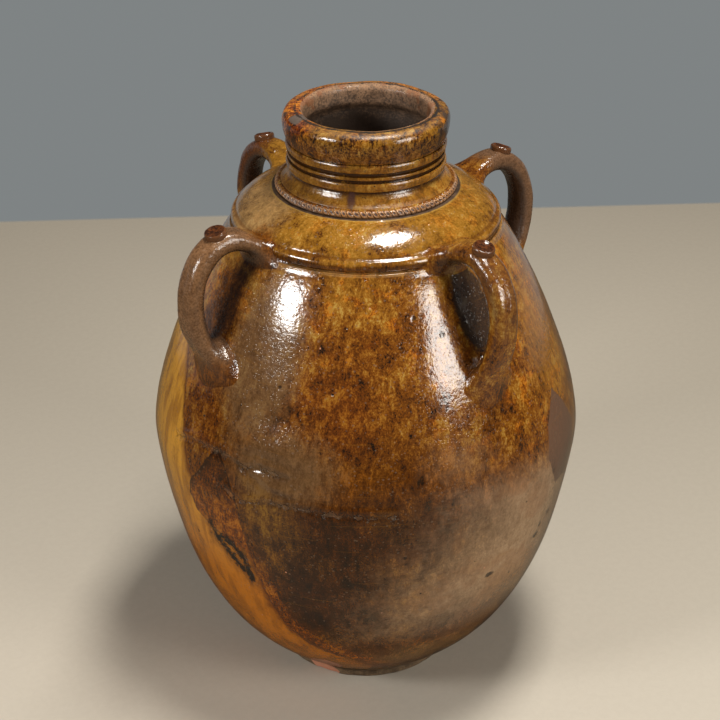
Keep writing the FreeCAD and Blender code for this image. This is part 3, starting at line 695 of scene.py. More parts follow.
# Lines round the ledge, in metres above the floor: where each starts, is full, has ended and begins to fade
STEP_LEVELS = (0.5022, 0.5034, 0.5130, 0.5100)
GROOVE_LEVELS = (0.5132, 0.5144, 0.5164, 0.5150)
EDGE_LEVELS = (0.4992, 0.5004, 0.5030, 0.5022)

# Marks on the lip: field, where it starts and is full, weight of the noise, share and colour
LIP_MARKS = (
    ("black", 2.45, 2.80, 2.2, 0.9, (0.030, 0.020, 0.016)),
    ("spot", 1.75, 2.05, 1.5, 0.8, (0.50, 0.17, 0.012)),
    ("worn", 0.80, 1.00, 0.6, 1.0, (0.11, 0.08, 0.062)),
    ("stain", 1.05, 1.50, 0.8, 0.8, (0.07, 0.032, 0.030)),
)

# Glaze of each handle: how far the jar's glaze runs up from the roots, how matte the bow is, its coat, the
# dark and the light colour of the bow, and the mottle of the roots
HANDLE_LOOKS = {
    "front": (0.84, 0.13, 0.8, (0.070, 0.026, 0.009), (0.19, 0.080, 0.026), FLANK_MOTTLE),
    "right": (0.34, 0.24, 0.35, (0.080, 0.040, 0.021), (0.23, 0.120, 0.060), FLANK_MOTTLE),
    "back": (0.60, 0.20, 0.6, (0.050, 0.013, 0.004), (0.18, 0.056, 0.014), DOME_MOTTLE),
    "left": (0.14, 0.22, 0.55, (0.078, 0.034, 0.015), (0.30, 0.152, 0.066), BELLY_MOTTLE),
}


class Mottle:
    """The noises that every glaze of the jar shares, so that the mottle runs on from piece to piece."""

    def __init__(self, make):
        self.grains = make.noise(12.0, 4.0, 0.95, 0.3, vector=make.stretch(1.0, 0.55))
        self.threads = make.noise(6.0, 3.0, 0.8, vector=make.stretch(1.0, 0.14))
        self.rings = make.noise(4.5, 3.0, 0.7, vector=make.stretch(0.10, 1.0))
        self.coarse = make.noise(9.0, 3.0, 0.6, 0.4)
        self.fine = make.noise(2.0, 2.0, 0.7)
        self.broad = make.noise(55.0, 4.0, 0.65, 0.3)
        streaky = ((self.grains, 1.0), (self.fine, 0.35), (self.threads, 0.35), (self.rings, 0.12))
        self.sum = make.weigh(*streaky, (self.broad, 0.50))
        self.grain = make.spread(self.sum, 0.20, 1.16)


def mottled_glaze():
    """Runny brown and amber lead glaze: fine upright mottle, runs, patches, pits and small knocks."""
    make = Nodes("mottled_glaze")
    mottle = Mottle(make)
    grain = mottle.grain
    threads = mottle.threads
    coarse = mottle.coarse
    fine = mottle.fine
    broad = mottle.broad
    wide = make.noise(130.0, 3.0, 0.5)
    height = make.height()
    belly = make.ramp(grain, BELLY_MOTTLE)
    ember = make.ramp(grain, EMBER_MOTTLE)
    rust = make.ramp(grain, RUST_MOTTLE)
    # Redder and darker down the wall and more olive towards the top
    olive = make.share(0.54, 0.62, (height, 1.0), (broad, 0.16))
    make.colour = make.mix(olive, make.ramp(grain, FLANK_MOTTLE), make.ramp(grain, DOME_MOTTLE))
    embers = make.share(0.80, 0.92, (make.noise(17.0, 3.0, 0.6), 1.0), (broad, 0.5))
    make.lay(make.times(embers, make.between(height, 0.500, 0.530, 0.65, 0.30)), ember)
    make.lay(make.share(0.50, 0.88, (make.field("warm"), 0.42), (wide, 0.8), (coarse, 0.3)), rust)
    # Painted light: lighter gold on the right flank
    make.lay(make.zone("sunny", 0.75, 1.35, (threads, 1.2), top=0.5), GOLD)
    # Darker belly and smooth brown lower front
    edge = make.weigh((make.field("smooth"), 1.0), (broad, 7.0), (coarse, 2.5))
    make.lay(make.between(edge, -2.5, 4.5), belly)
    calm = make.spread(make.weigh((mottle.sum, 1.0), (wide, 1.0)), 0.24, 1.66)
    browned = [make.ramp(calm, stops) for stops in (LOW_MOTTLE, DREG_MOTTLE)]
    make.lay(make.between(edge, 4.0, 8.0), make.mix(make.between(wide, 0.42, 0.58), *browned))
    # Grey film on the left, partly a painted sheen, a paler right side with a painted reflection of the
    # floor, and the other soft patches, among them a painted sheen on the dome and painted shadows of the
    # handles
    ashen_sheen = make.mix(make.between(broad, 0.46, 0.62, top=0.45), make.mix(grain, *ASH_SHEEN_PAIR), ASH_STAIN)
    for name, low, high, noises, top, over in (
        # Grey film, partly a painted sheen
        ("film", 0.45, 1.15, ((coarse, 0.4), (threads, 0.7)), 0.86, make.mix(grain, *FILM_AND_SHEEN_PAIR)),
        # Paler glaze with a painted reflection of the floor
        ("pale", 0.50, 1.80, ((coarse, 0.5), (broad, 0.5)), 0.95, ashen_sheen),
        ("hem", 0.75, 1.50, ((coarse, 0.8), (broad, 0.6)), 0.60, make.mix(grain, *HEM_PAIR)),
        # Painted sheen on the left of the dome
        ("bloom", 0.45, 0.90, ((coarse, 0.4), (threads, 0.4)), 0.80, make.mix(grain, *DOME_SHEEN_PAIR)),
        # Darker brown glaze with a painted shadow of the left handle in its loop
        ("shade", 0.45, 0.95, ((coarse, 0.8),), 1.00, belly),
        # Painted shadow of the front handle on the wall behind it
        ("scorch", 0.25, 0.42, ((coarse, 0.4),), 0.90, PAINTED_SHADOW_CHARCOAL),
    ):
        make.lay(make.zone(name, low, high, *noises, top=top), over)
    # Ochre run with streaks, darker along its edges
    streaks = make.noise(14.0, 2.0, 0.5, vector=make.stretch(1.0, 0.07))
    run = make.weigh((make.field("ochre"), 1.0), (streaks, 1.6), (coarse, 0.7))
    make.lay(make.times(make.between(run, -1.2, 0.6), make.between(height, 0.25, 0.15, top=0.8)), ember)
    body = make.mix(make.between(height, 0.30, 0.16), OCHRE, ORANGE)
    body = make.mix(make.between(streaks, 0.45, 0.62, top=0.55), body, AMBER)
    body = make.mix(make.between(grain, 0.45, 0.05, top=0.35), body, RUST)
    body = make.mix(make.between(run, 2.1, 1.2), body, RUST)
    make.lay(make.between(run, 1.0, 1.35), body)
    # Brown tongue in the run, with a dark brink, and the brown patch and purple wedge
    sinking = make.weigh((height, 1.0), (broad, 0.20), (threads, 0.05))
    tongue = make.times(make.zone("tongue", 0.2, 0.38, (coarse, 0.5)), make.between(sinking, 0.300, 0.350))
    tongued = make.mix(make.between(sinking, 0.350, 0.430), ember, make.ramp(grain, LOW_MOTTLE))
    brink = make.zone("tongue", 0.75, 0.50, (coarse, 0.8), top=0.7)
    make.lay(tongue, make.mix(brink, tongued, SOOT))
    make.lay(make.zone("brown", 0.3, 0.7, (coarse, 0.9), top=0.8), rust)
    make.lay(make.zone("wedge", 0.12, 0.22, (coarse, 0.35)), PURPLE)
    # Darker band in the step of the ledge and a thin dark line above it, a painted shadow round the foot of
    # the cordon, and painted highlight lines on the small ridge beside it and along the ledge's edge
    make.lay(make.band(height, make.weigh((height, 1.0), (coarse, 0.004)), STEP_LEVELS, 0.9), belly)
    make.lay(make.band(height, height, GROOVE_LEVELS, 0.55), CHESTNUT)
    make.lay(make.band(height, height, EDGE_LEVELS, make.between(coarse, 0.35, 0.60, 0.15, 0.5)), EDGE_GLINT)
    # Painted shadow under the cordon, and a painted highlight line on the ridge below it
    make.lay(make.times(make.field("ring"), 0.9), SOOT)
    make.lay(make.times(make.field("ridge"), make.between(coarse, 0.35, 0.6, 0.3, 0.9)), STRAW)
    # Thin light lines left by turning, rough dark specks, small pits, worn scratch, chips and dust
    turning = make.noise(2.6, 2.0, 0.6, vector=make.stretch(0.035, 1.0))
    make.lay(make.between(turning, 0.63, 0.70, top=0.14), GOLD)
    crust = make.share(1.64, 1.76, (make.field("crust"), 0.7), (coarse, 1.2), (fine, 1.2))
    make.lay(make.zone("crust", -0.1, 1.7, (coarse, 1.6), top=0.6), rust)
    make.lay(crust, SOOT)
    dots = make.share(0.115, 0.085, (make.cells(27.0), 1.0), (coarse, 0.12))
    make.lay(make.times(dots, 0.85), SOOT)
    make.lay(make.between(make.cells(34.0, make.stretch(1.07, 0.93)), 0.034, 0.024), BARE)
    dusty = make.cells(5.0, make.stretch(0.9, 1.1))
    make.lay(make.share(0.50, 0.40, (dusty, 1.0), (coarse, 0.6), top=0.35), DUST)
    make.lay(make.zone("scratch", 0.14, 0.08, (fine, 0.12), top=0.4), FILM)
    # Painted highlight: broken light glints along the folds near the belly seam
    crease = make.zone("fold", 1.26, 1.12, (coarse, 2.2))
    make.lay(make.times(crease, make.between(coarse, 0.40, 0.60, 0.12, 0.50)), CREASE_GLINT)
    make.lay(make.zone("pit", 1.00, 1.25, (coarse, 1.0), (fine, 0.8), top=0.8), SOOT)
    chip = make.zone("chip", 0.2, 0.3, (coarse, 0.5))
    make.lay(chip, BARE)
    # Dull, dark clay inside the jar
    lining = make.field("lining")
    make.lay(lining, make.mix(make.between(coarse, 0.35, 0.65), *LINING_PAIR))
    gloss = make.share(0.45, 0.65, (fine, 0.8), (coarse, 0.3), bottom=0.10, top=0.22)
    roughness = make.weigh((gloss, 1.0), (crust, 0.3), (chip, 0.5), (lining, 0.45))
    pores = make.share(0.52, 0.36, (make.cells(2.6), 1.0), (coarse, 0.5))
    skin = make.weigh((make.noise(4.0, 2.0, 0.6), 1.0), (mottle.grains, 0.4), (pores, -0.30))
    filmed = make.times(make.noise(1.6), make.between(make.field("film"), 0.0, 0.6))
    normal = make.bumps(
        (skin, 0.22), (mottle.rings, 0.05), (filmed, 0.06), (crust, 0.5), (crease, -2.2), (dots, -0.5)
    )
    return make.finish(roughness, normal, ior=1.35, coat_weight=0.80, coat_roughness=0.09, coat_ior=1.65)


def rim_glaze():
    """The same glaze on the neck and rim: olive and amber, red and black on the lip, dull in the mouth."""
    make = Nodes("rim_glaze")
    mottle = Mottle(make)
    grain = make.spread(mottle.sum, 0.145, 1.165)
    coarse = mottle.coarse
    fine = mottle.fine
    height = make.height()
    patchy = make.between(mottle.broad, 0.42, 0.64)
    make.colour = make.mix(patchy, make.ramp(grain, DOME_MOTTLE), make.ramp(grain, FLANK_MOTTLE))
    blots = make.share(0.71, 0.62, (mottle.grains, 1.0), (fine, 0.5))
    make.lay(make.times(blots, make.between(height, 0.580, 0.600, 0.25, 0.65)), SOOT)
    rusty = make.noise(20.0, 3.0, 0.6)
    make.lay(make.between(rusty, 0.56, 0.66), make.ramp(grain, RUST_MOTTLE))
    make.lay(make.between(height, 0.588, 0.580, top=0.35), GOLD)
    edge = make.weigh((coarse, 0.7), (fine, 0.7), (mottle.grains, 0.6))
    make.lay(make.zone("red", 1.15, 1.70, (edge, 1.0)), make.ramp(grain, LIP_MOTTLE))
    # Glaze pooled in the grooves and lower down, and the marks on the lip
    make.lay(make.times(make.field("groove"), make.between(coarse, 0.30, 0.45, 0.55, 0.95)), DREGS)
    lowered = make.band(height, make.weigh((height, 1.0), (edge, 0.06)), (0.586, 0.589, 0.670, 0.655), 0.75)
    make.lay(lowered, make.ramp(grain, BELLY_MOTTLE))
    for name, low, high, weight, top, colour in LIP_MARKS:
        make.lay(make.zone(name, low, high, (edge, weight), top=top), colour)
    # Bare clay inside, pinkish near the lip and darker further down as painted shade, and a black speckled
    # line round the lip
    inside = make.zone("inside", 1.30, 1.65, (edge, 1.0))
    level = make.weigh((height, 1.0), (coarse, 0.05), (fine, 0.05))
    dull = make.mix(make.between(level, 0.630, 0.680), *THROAT_SHADE_PAIR)
    grime = make.share(0.62, 0.52, (fine, 0.6), (mottle.grains, 0.6), top=0.45)
    dull = make.mix(grime, dull, GRIME)
    dull = make.mix(make.share(4.17, 4.27, (rusty, 1.0), (height, 6.0), top=0.45), dull, EMBER)
    make.lay(inside, dull)
    make.lay(make.share(2.36, 2.56, (make.field("inner_lip"), 0.7), (edge, 2.0)), SOOT)
    gloss = make.share(0.45, 0.65, (fine, 0.8), (coarse, 0.3), bottom=0.12, top=0.24)
    roughness = make.weigh((gloss, 1.0), (inside, 0.36), (make.field("matte"), 0.36))
    normal = make.bumps((make.noise(4.0, 3.0, 0.75), 0.32), (mottle.rings, 0.12))
    return make.finish(roughness, normal, ior=1.62, coat_weight=0.15, coat_roughness=0.10, coat_ior=1.60)


def cordon_glaze():
    """Thin glaze on the cordon: grey in each bead's pressed hollow, light on its outline, dark between."""
    make = Nodes("cordon_glaze")
    mottle = Mottle(make)
    make.colour = make.mix(make.between(mottle.broad, 0.42, 0.60), *CORDON_PAIR)
    make.lay(make.zone("hollow", 0.25, 0.85), BEAD_HOLLOW)
    rim = make.mix(make.between(mottle.coarse, 0.4, 0.6), *CORDON_EDGE_PAIR)
    make.lay(make.zone("outline", 0.75, 1.20, (mottle.fine, 0.6)), rim)
    make.lay(make.field("top"), make.ramp(mottle.grain, FLANK_MOTTLE))
    make.lay(make.zone("cut", 0.20, 0.80), BEAD_CUT)
    roughness = make.between(mottle.fine, 0.35, 0.7, 0.20, 0.36)
    normal = make.bumps((make.noise(2.4, 2.0, 0.5), 0.12))
    return make.finish(roughness, normal, ior=1.45, coat_weight=0.5, coat_roughness=0.10)


def handle_glaze(side):
    """Glaze of one handle: the jar's own at the roots, darker and duller on the bow."""
    amber, dull, coat, dark, light, stops = HANDLE_LOOKS[side]
    make = Nodes(f"handle_glaze_{side}")
    mottle = Mottle(make)
    grain = mottle.grain
    coarse = mottle.coarse
    outer = make.field("outer")
    speckle = make.weigh((mottle.fine, 0.8), (coarse, 0.4), (mottle.grains, 0.4))
    make.colour = make.mix(make.spread(speckle, 0.26, 0.80), dark, light)
    reach = make.weigh((make.field("root"), 1.0), (mottle.broad, 0.9), (coarse, 0.3), (outer, 0.12))
    root = make.between(reach, 1.40 - amber, 1.80 - amber)
    olive = make.share(0.60, 0.66, (make.height(), 1.0), (mottle.broad, 0.16))
    upper_stops = DOME_MOTTLE if amber > 0.5 else stops
    make.lay(root, make.mix(olive, make.ramp(grain, stops), make.ramp(grain, upper_stops)))
    inner = make.share(0.30, 0.90, (outer, -1.0), (coarse, 0.5))
    make.lay(make.times(inner, make.between(make.field("root"), 0.95, 0.70, 0.25, 0.85)), HANDLE_INNER)
    # Pale smears on the handle: a painted reflection of the glaze
    make.lay(make.share(0.98, 1.10, (coarse, 1.0), (mottle.threads, 0.6), top=0.35), HANDLE_SMEAR_SHEEN)
    gloss = make.share(0.55, 0.85, (coarse, 0.6), (mottle.fine, 0.8), bottom=dull, top=dull + 0.10)
    roughness = make.weigh((gloss, 1.0), (root, 0.13 - dull))
    normal = make.bumps((make.noise(7.0, 3.0, 0.7), 0.9), (make.noise(1.8, 2.0, 0.6), 0.22))
    return make.finish(roughness, normal, ior=1.42, coat_weight=coat, coat_roughness=0.10, coat_ior=1.65)


def button_glaze():
    """Dark red-brown glaze that has pooled in the hollow of a button."""
    make = Nodes("button_glaze")
    fine = make.noise(2.0, 3.0, 0.6)
    coarse = make.noise(6.0, 2.0, 0.5)
    make.colour = make.mix(make.share(0.65, 0.95, (fine, 1.0), (coarse, 0.6)), *BUTTON_PAIR)
    make.lay(make.zone("edge", 0.45, 0.95, (coarse, 0.5)), BUTTON_EDGE)
    normal = make.bumps((make.noise(2.6, 2.0, 0.5), 0.2))
    return make.finish(
        make.between(fine, 0.3, 0.7, 0.12, 0.24), normal, ior=1.5, coat_weight=0.3, coat_roughness=0.06
    )


def bare_clay():
    """Unglazed foot: dark, sooty clay with a fresh pink chip."""
    make = Nodes("bare_clay")
    fine = make.noise(1.8, 3.0, 0.7)
    coarse = make.noise(9.0, 3.0, 0.6)
    make.colour = make.mix(make.share(0.7, 1.1, (fine, 1.0), (coarse, 0.8)), *FOOT_PAIR)
    make.lay(make.zone("chip", 0.1, 0.16, (coarse, 0.25)), BARE)
    normal = make.bumps((make.weigh((fine, 1.0), (coarse, 0.6)), 0.35))
    return make.finish(make.between(fine, 0.3, 0.7, 0.6, 0.85), normal)


glaze = mottled_glaze()
neck_glaze = rim_glaze()
rope_glaze = cordon_glaze()
pellet_glaze = button_glaze()
foot_clay = bare_clay()
HANDLE_GLAZES = {side: handle_glaze(side) for side in SIDES}


# Outlines of the turned pieces


def share_point(first, last, across, up):
    """Point at shares across and up of the way from first to last."""
    return (first[0] + across * (last[0] - first[0]), first[1] + up * (last[1] - first[1]))


def shifted(point, inwards):
    """The point moved towards the axis."""
    return (point[0] - inwards, point[1])


BOWL_FOOT = (SEAT_RADIUS, FOOT_HEIGHT)
BELLY = (BELLY_RADIUS, BELLY_HEIGHT)
LEDGE = (LEDGE_RADIUS, LEDGE_HEIGHT)
BOWL_LOW = share_point(BOWL_FOOT, BELLY, 0.595, 0.213)
BOWL_HIGH = share_point(BOWL_FOOT, BELLY, 0.832, 0.430)
FLANK_LOW = share_point(BELLY, LEDGE, 0.026, 0.309)
FLANK_HIGH = share_point(BELLY, LEDGE, 0.805, 0.919)
BEAD_TOP = (BEAD_FOOT_RADIUS - BEAD_SWELL / 2, LEDGE_HEIGHT + BEAD_RISE)
COLLAR = (DOME_TOP_RADIUS, COLLAR_HEIGHT)
DOME_LINE = [share_point(BEAD_TOP, COLLAR, at, at) for at in (0.22, 0.64)]
DOME_PULLS = [(out, up + DOME_LIFT) for out, up in DOME_LINE]


def make_foot():
    outline = trace(
        (0.0, RECESS_DEPTH),
        ((RECESS_RADIUS - 2.0, RECESS_DEPTH), 14),
        ((RECESS_RADIUS, RECESS_DEPTH), (RECESS_RADIUS, 0.0), (RECESS_RADIUS + 2.0, 0.0), 8),
        ((FOOT_RADIUS - 2.0, 0.0), 10),
        ((FOOT_RADIUS - 0.4, 0.0), (FOOT_RADIUS, 0.4), (FOOT_RADIUS, 2.0), 5),
        ((FOOT_RADIUS, FOOT_BAND_HEIGHT), 5),
        (BOWL_FOOT, 6),
        ((0.0, FOOT_HEIGHT), 14),
    )

    def relief(surface):
        outer = ease(surface.radius, 84.0, 92.0)
        chip = np.maximum(surface.patch(FOOT_CHIP), 0.0)
        worn = 0.35 * lumps(surface.points, 9.0, 12) - 0.35 - 1.6 * np.clip(chip / 3.0, 0.0, 1.0)
        return outer * worn

    turned("foot", outline, 540, foot_clay, relief, 14)


def make_lower_body():
    inner_foot = shifted(BOWL_FOOT, WALL_AT_FOOT)
    outline = trace(
        BOWL_FOOT,
        (BOWL_LOW, BOWL_HIGH, BELLY, 128),
        (shifted(BELLY, WALL_AT_BELLY), 2),
        (shifted(BOWL_HIGH, WALL_AT_BELLY), shifted(BOWL_LOW, WALL_AT_FOOT), inner_foot, 26),
    )
    turned("lower_body", outline, 600, glaze, wall_relief, 27, sideways=True)


def make_upper_body():
    inner_belly = shifted(BELLY, WALL_AT_BELLY)
    outline = trace(
        BELLY,
        (FLANK_LOW, FLANK_HIGH, (LEDGE_RADIUS, LEDGE_HEIGHT - 1.0), 104),
        (LEDGE, LEDGE, shifted(LEDGE, 1.0), 3),
        (shifted(LEDGE, WALL_AT_LEDGE), 6),
        (shifted(FLANK_HIGH, WALL_AT_LEDGE), shifted(FLANK_LOW, WALL_AT_BELLY), inner_belly, 26),
    )

    def relief(surface):
        return wall_relief(surface) * (1.0 - ease(surface.height, LEDGE_HEIGHT - 6.0, LEDGE_HEIGHT))

    turned("upper_body", outline, 600, glaze, relief, 27, sideways=True)


def make_shoulder():
    low = LEDGE_HEIGHT - OVERLAP
    bead_reach = BEAD_FOOT_RADIUS + BEAD_SWELL / ARCH_SHARE
    bead_pulls = [(bead_reach, LEDGE_HEIGHT + BEAD_RISE * share) for share in (0.2, 0.8)]
    inner_ledge = LEDGE_RADIUS - WALL_AT_LEDGE
    underside = COLLAR_HEIGHT - SHOULDER_WALL
    outline = trace(
        (BEAD_FOOT_RADIUS, low),
        ((BEAD_FOOT_RADIUS, LEDGE_HEIGHT), 1),
        (*bead_pulls, BEAD_TOP, 18),
        (*DOME_PULLS, COLLAR, 34),
        ((THROAT_RADIUS, COLLAR_HEIGHT), 6),
        ((THROAT_RADIUS, underside), 5),
        ((inner_ledge - 23.0, underside), (inner_ledge - 3.3, LEDGE_HEIGHT + 12.5), (inner_ledge, low), 20),
    )

    def relief(surface):
        groove = np.exp(-(((surface.height - (LEDGE_HEIGHT + BEAD_RISE + 1.2)) / 1.3) ** 2))
        marks = zones(surface)
        move = uneven(surface.points, (0.35, 42.0, 2), (0.16, 13.0, 3)) - 0.3
        # The painted shadow line round the cordon also marks a shallow groove, and the painted highlight
        # line a low ridge
        return move - 0.5 * groove - 0.7 * marks["ring"] + 0.3 * marks["ridge"]

    turned("shoulder", outline, 600, glaze, relief, 32)


def make_neck():
    low = COLLAR_HEIGHT - OVERLAP
    height = ROPE_TOP + COVE_RISE
    cove_low = (NECK_ROOT_RADIUS - 4.4, ROPE_TOP + COVE_RISE * 0.35)
    cove_high = (NECK_RADIUS, ROPE_TOP + COVE_RISE * 0.6)
    runs = [((NECK_ROOT_RADIUS, ROPE_TOP), 6), (cove_low, cove_high, (NECK_RADIUS, height), 12)]
    for number, (rise, swell) in enumerate(RIDGES):
        foot = height + RIDGE_GAP * (2 if number == 2 else 1)
        pull = NECK_RADIUS + swell / ARCH_SHARE
        height = foot + rise
        runs.append(((NECK_RADIUS, foot), 2))
        runs.append(((pull, foot), (pull, height), (NECK_RADIUS, height), 12))
    runs += [((NECK_RADIUS, RIM_HEIGHT), 2), ((THROAT_RADIUS, RIM_HEIGHT), 3), ((THROAT_RADIUS, low), 24)]
    outline = trace((NECK_ROOT_RADIUS, low), *runs)

    def relief(surface):
        groove = mouth_zones(surface)["groove"]
        return uneven(surface.points, (0.35, 26.0, 21), (0.14, 9.0, 22)) - 0.3 - 1.1 * groove

    turned("neck", outline, 540, neck_glaze, relief, 28, mouth_zones)


def make_rim():
    low = RIM_HEIGHT - OVERLAP
    bulge = RIM_HEIGHT + RIM_BULGE_RISE
    rise = CREST_HEIGHT - RIM_HEIGHT
    lip = CREST_HEIGHT - rise * 0.26
    lip_pull = (MOUTH_RADIUS, CREST_HEIGHT - rise * 0.02)
    throat_pull = RIM_HEIGHT + rise * 0.22
    rim_low = (RIM_SEAT_RADIUS + 3.5, RIM_HEIGHT + RIM_BULGE_RISE * 0.3)
    rim_high = (RIM_RADIUS, RIM_HEIGHT + RIM_BULGE_RISE * 0.66)
    crest_pull = (RIM_RADIUS, bulge + (CREST_HEIGHT - bulge) * 0.68)
    outline = trace(
        (RIM_SEAT_RADIUS, low),
        (rim_low, rim_high, (RIM_RADIUS, bulge), 18),
        (crest_pull, (CREST_RADIUS + 6.6, CREST_HEIGHT), (CREST_RADIUS, CREST_HEIGHT), 16),
        ((CREST_RADIUS - 4.8, CREST_HEIGHT), lip_pull, (MOUTH_RADIUS, lip), 14),
        ((MOUTH_RADIUS, RIM_HEIGHT + rise * 0.4), 5),
        ((MOUTH_RADIUS, throat_pull), (THROAT_RADIUS, throat_pull), (THROAT_RADIUS, low), 10),
    )

    def relief(surface):
        move = uneven(surface.points, (0.7, 34.0, 31), (0.25, 11.0, 32)) - 0.75
        return move * ease(surface.height, RIM_HEIGHT, RIM_HEIGHT + 5.0)

    turned("rim", outline, 540, neck_glaze, relief, 0, mouth_zones)


def rope_beads(surface):
    """Fields of the cordon's beads: their pressed hollow, its outline, and the cuts between beads."""
    up = (surface.height - COLLAR_HEIGHT) / ROPE_RISE - 0.5
    turn = surface.azimuth / 360.0 * ROPE_BEADS + up * ROPE_LEAN_SHARE
    turn = turn + 0.14 * lumps(surface.points, 14.0, 41)
    across = 2.0 * np.abs(turn - np.round(turn))
    size = 1.0 + 0.22 * lumps(surface.points, 8.0, 43)
    oval = np.hypot(across / 0.82, (up - 0.16) / 0.40) / size
    return {
        "hollow": 1.0 - ease(oval, 0.35, 0.85),
        "outline": np.exp(-(((oval - 0.94) / 0.12) ** 2)),
        "cut": ease(across, 0.84, 0.98),
        "top": ease(up, 0.46, 0.498),
    }


def make_rope_cordon():
    low = COLLAR_HEIGHT - OVERLAP
    inner = NECK_ROOT_RADIUS - OVERLAP
    ledge = NECK_ROOT_RADIUS + ROPE_WIDTH * 0.3
    pull = ledge + ROPE_WIDTH * 0.7 / ARCH_SHARE
    arch = ((pull, low), (pull, ROPE_TOP), (ledge, ROPE_TOP), 20)
    outline = trace((inner, low), ((ledge, low), 3), arch, ((inner, ROPE_TOP), 3))

    def relief(surface):
        beads = rope_beads(surface)
        outer = ease(surface.radius, ledge - 1.0, ledge + 1.0)
        rolled = 0.25 * lumps(surface.points, 10.0, 42)
        return outer * (rolled - ROPE_HOLLOW * beads["hollow"] - ROPE_CUT * beads["cut"] - 0.6)

    turned("rope_cordon", outline, 1400, rope_glaze, relief, 1, rope_beads)


def bezier(points, share):
    """Point and unit direction at a share of the smooth curve through the first and last of four points."""
    rest = 1.0 - share
    first, second, third, fourth = (np.array(point) for point in points)
    ahead = rest**2 * (second - first) + 2.0 * rest * share * (third - second) + share**2 * (fourth - third)
    return bend(points, share), ahead / math.hypot(ahead[0], ahead[1])


HANDLE_FOOT = bend((BELLY, FLANK_LOW, FLANK_HIGH, LEDGE), 0.466)
HANDLE_LINE = (
    (LEDGE_RADIUS - 10.7, LEDGE_HEIGHT + 5.4),
    (LEDGE_RADIUS + 51.1, LEDGE_HEIGHT + 53.4),
    (HANDLE_FOOT[0] + 48.8, HANDLE_FOOT[1] + 78.8),
    tuple(HANDLE_FOOT),
)


def eased(outline, window):
    """The outline in even steps of a millimetre, with its corners rounded over a window of steps."""
    lengths = np.append(0.0, np.cumsum(np.hypot(*np.diff(outline, axis=0).T)))
    places = np.arange(0.0, lengths[-1], 1.0)
    even = np.stack([np.interp(places, lengths, outline[:, axis]) for axis in (0, 1)], 1)
    padded = np.pad(even, ((window // 2, window // 2), (0, 0)), mode="edge")
    return np.stack([np.convolve(padded[:, axis], np.ones(window) / window, "valid") for axis in (0, 1)], 1)


# The jar's outer side where handles stand on it, from the belly up to the neck
WALL_OUTLINE = eased(
    trace(
        BELLY,
        (FLANK_LOW, FLANK_HIGH, LEDGE, 240),
        ((BEAD_FOOT_RADIUS, LEDGE_HEIGHT), 4),
        (BEAD_TOP, 16),
        (*DOME_PULLS, COLLAR, 40),
    ),
    15,
)


def off_wall(points):
    """Distance of points from the jar's wall, positive outside, and the wall's outward direction there."""
    radius = np.hypot(points[:, 0], points[:, 1])
    place = np.stack((radius, points[:, 2]), 1)
    gaps = np.hypot(*(place[:, axis, None] - WALL_OUTLINE[None, :, axis] for axis in (0, 1)))
    nearest = gaps.argmin(1)
    ahead = np.gradient(WALL_OUTLINE, axis=0)
    near = unit(np.stack((ahead[:, 1], -ahead[:, 0]), 1))[nearest]
    away = ((place - WALL_OUTLINE[nearest]) * near).sum(1)
    out = points[:, :2] / radius[:, None]
    direction = np.stack((out[:, 0] * near[:, 0], out[:, 1] * near[:, 0], near[:, 1]), 1)
    return away, direction


def spin_to(side):
    """Turns rows of x, y, z from a handle's own frame, where it points along +X, to its side of the jar."""
    turn = math.radians(SIDES[side])
    along = math.cos(turn)
    aside = math.sin(turn)
    return np.array(((along, aside, 0.0), (-aside, along, 0.0), (0.0, 0.0, 1.0)))


def handle_sweep(shares, angles, drop):
    """Rows of points round the handle's line, and the point of the line behind each. drop is how much lower
    than the line the upper root sits."""
    points = []
    centres = []
    for share in shares:
        place, ahead = bezier(HANDLE_LINE, share)
        out = np.array((-ahead[1], ahead[0]))
        upper = max(0.0, 1.0 - share / 0.30) ** 2
        place = place - np.array((0.0, drop * upper))
        lower = min(1.0, max(0.0, (share - 0.72) / 0.28)) ** 2
        half_width = (HANDLE_WIDTH + 14.0 * upper + 12.0 * lower) / 2.0
        half_thickness = (HANDLE_THICKNESS - 9.0 * upper - 9.0 * lower) / 2.0
        outwards = half_thickness * np.sign(np.cos(angles)) * np.abs(np.cos(angles)) ** 0.86
        sideways = half_width * np.sign(np.sin(angles)) * np.abs(np.sin(angles)) ** 0.80
        # The outer face is pressed flat, so that it has an edge on either side
        hollow = np.exp(-((sideways / (half_width * 0.5)) ** 2)) * (np.cos(angles) > 0.0)
        outwards = outwards - HANDLE_HOLLOW * hollow
        points.append(np.stack((place[0] + outwards * out[0], sideways, place[1] + outwards * out[1]), 1))
        centres.append(np.tile((place[0], 0.0, place[1]), (len(angles), 1)))
    return np.vstack(points), np.vstack(centres)


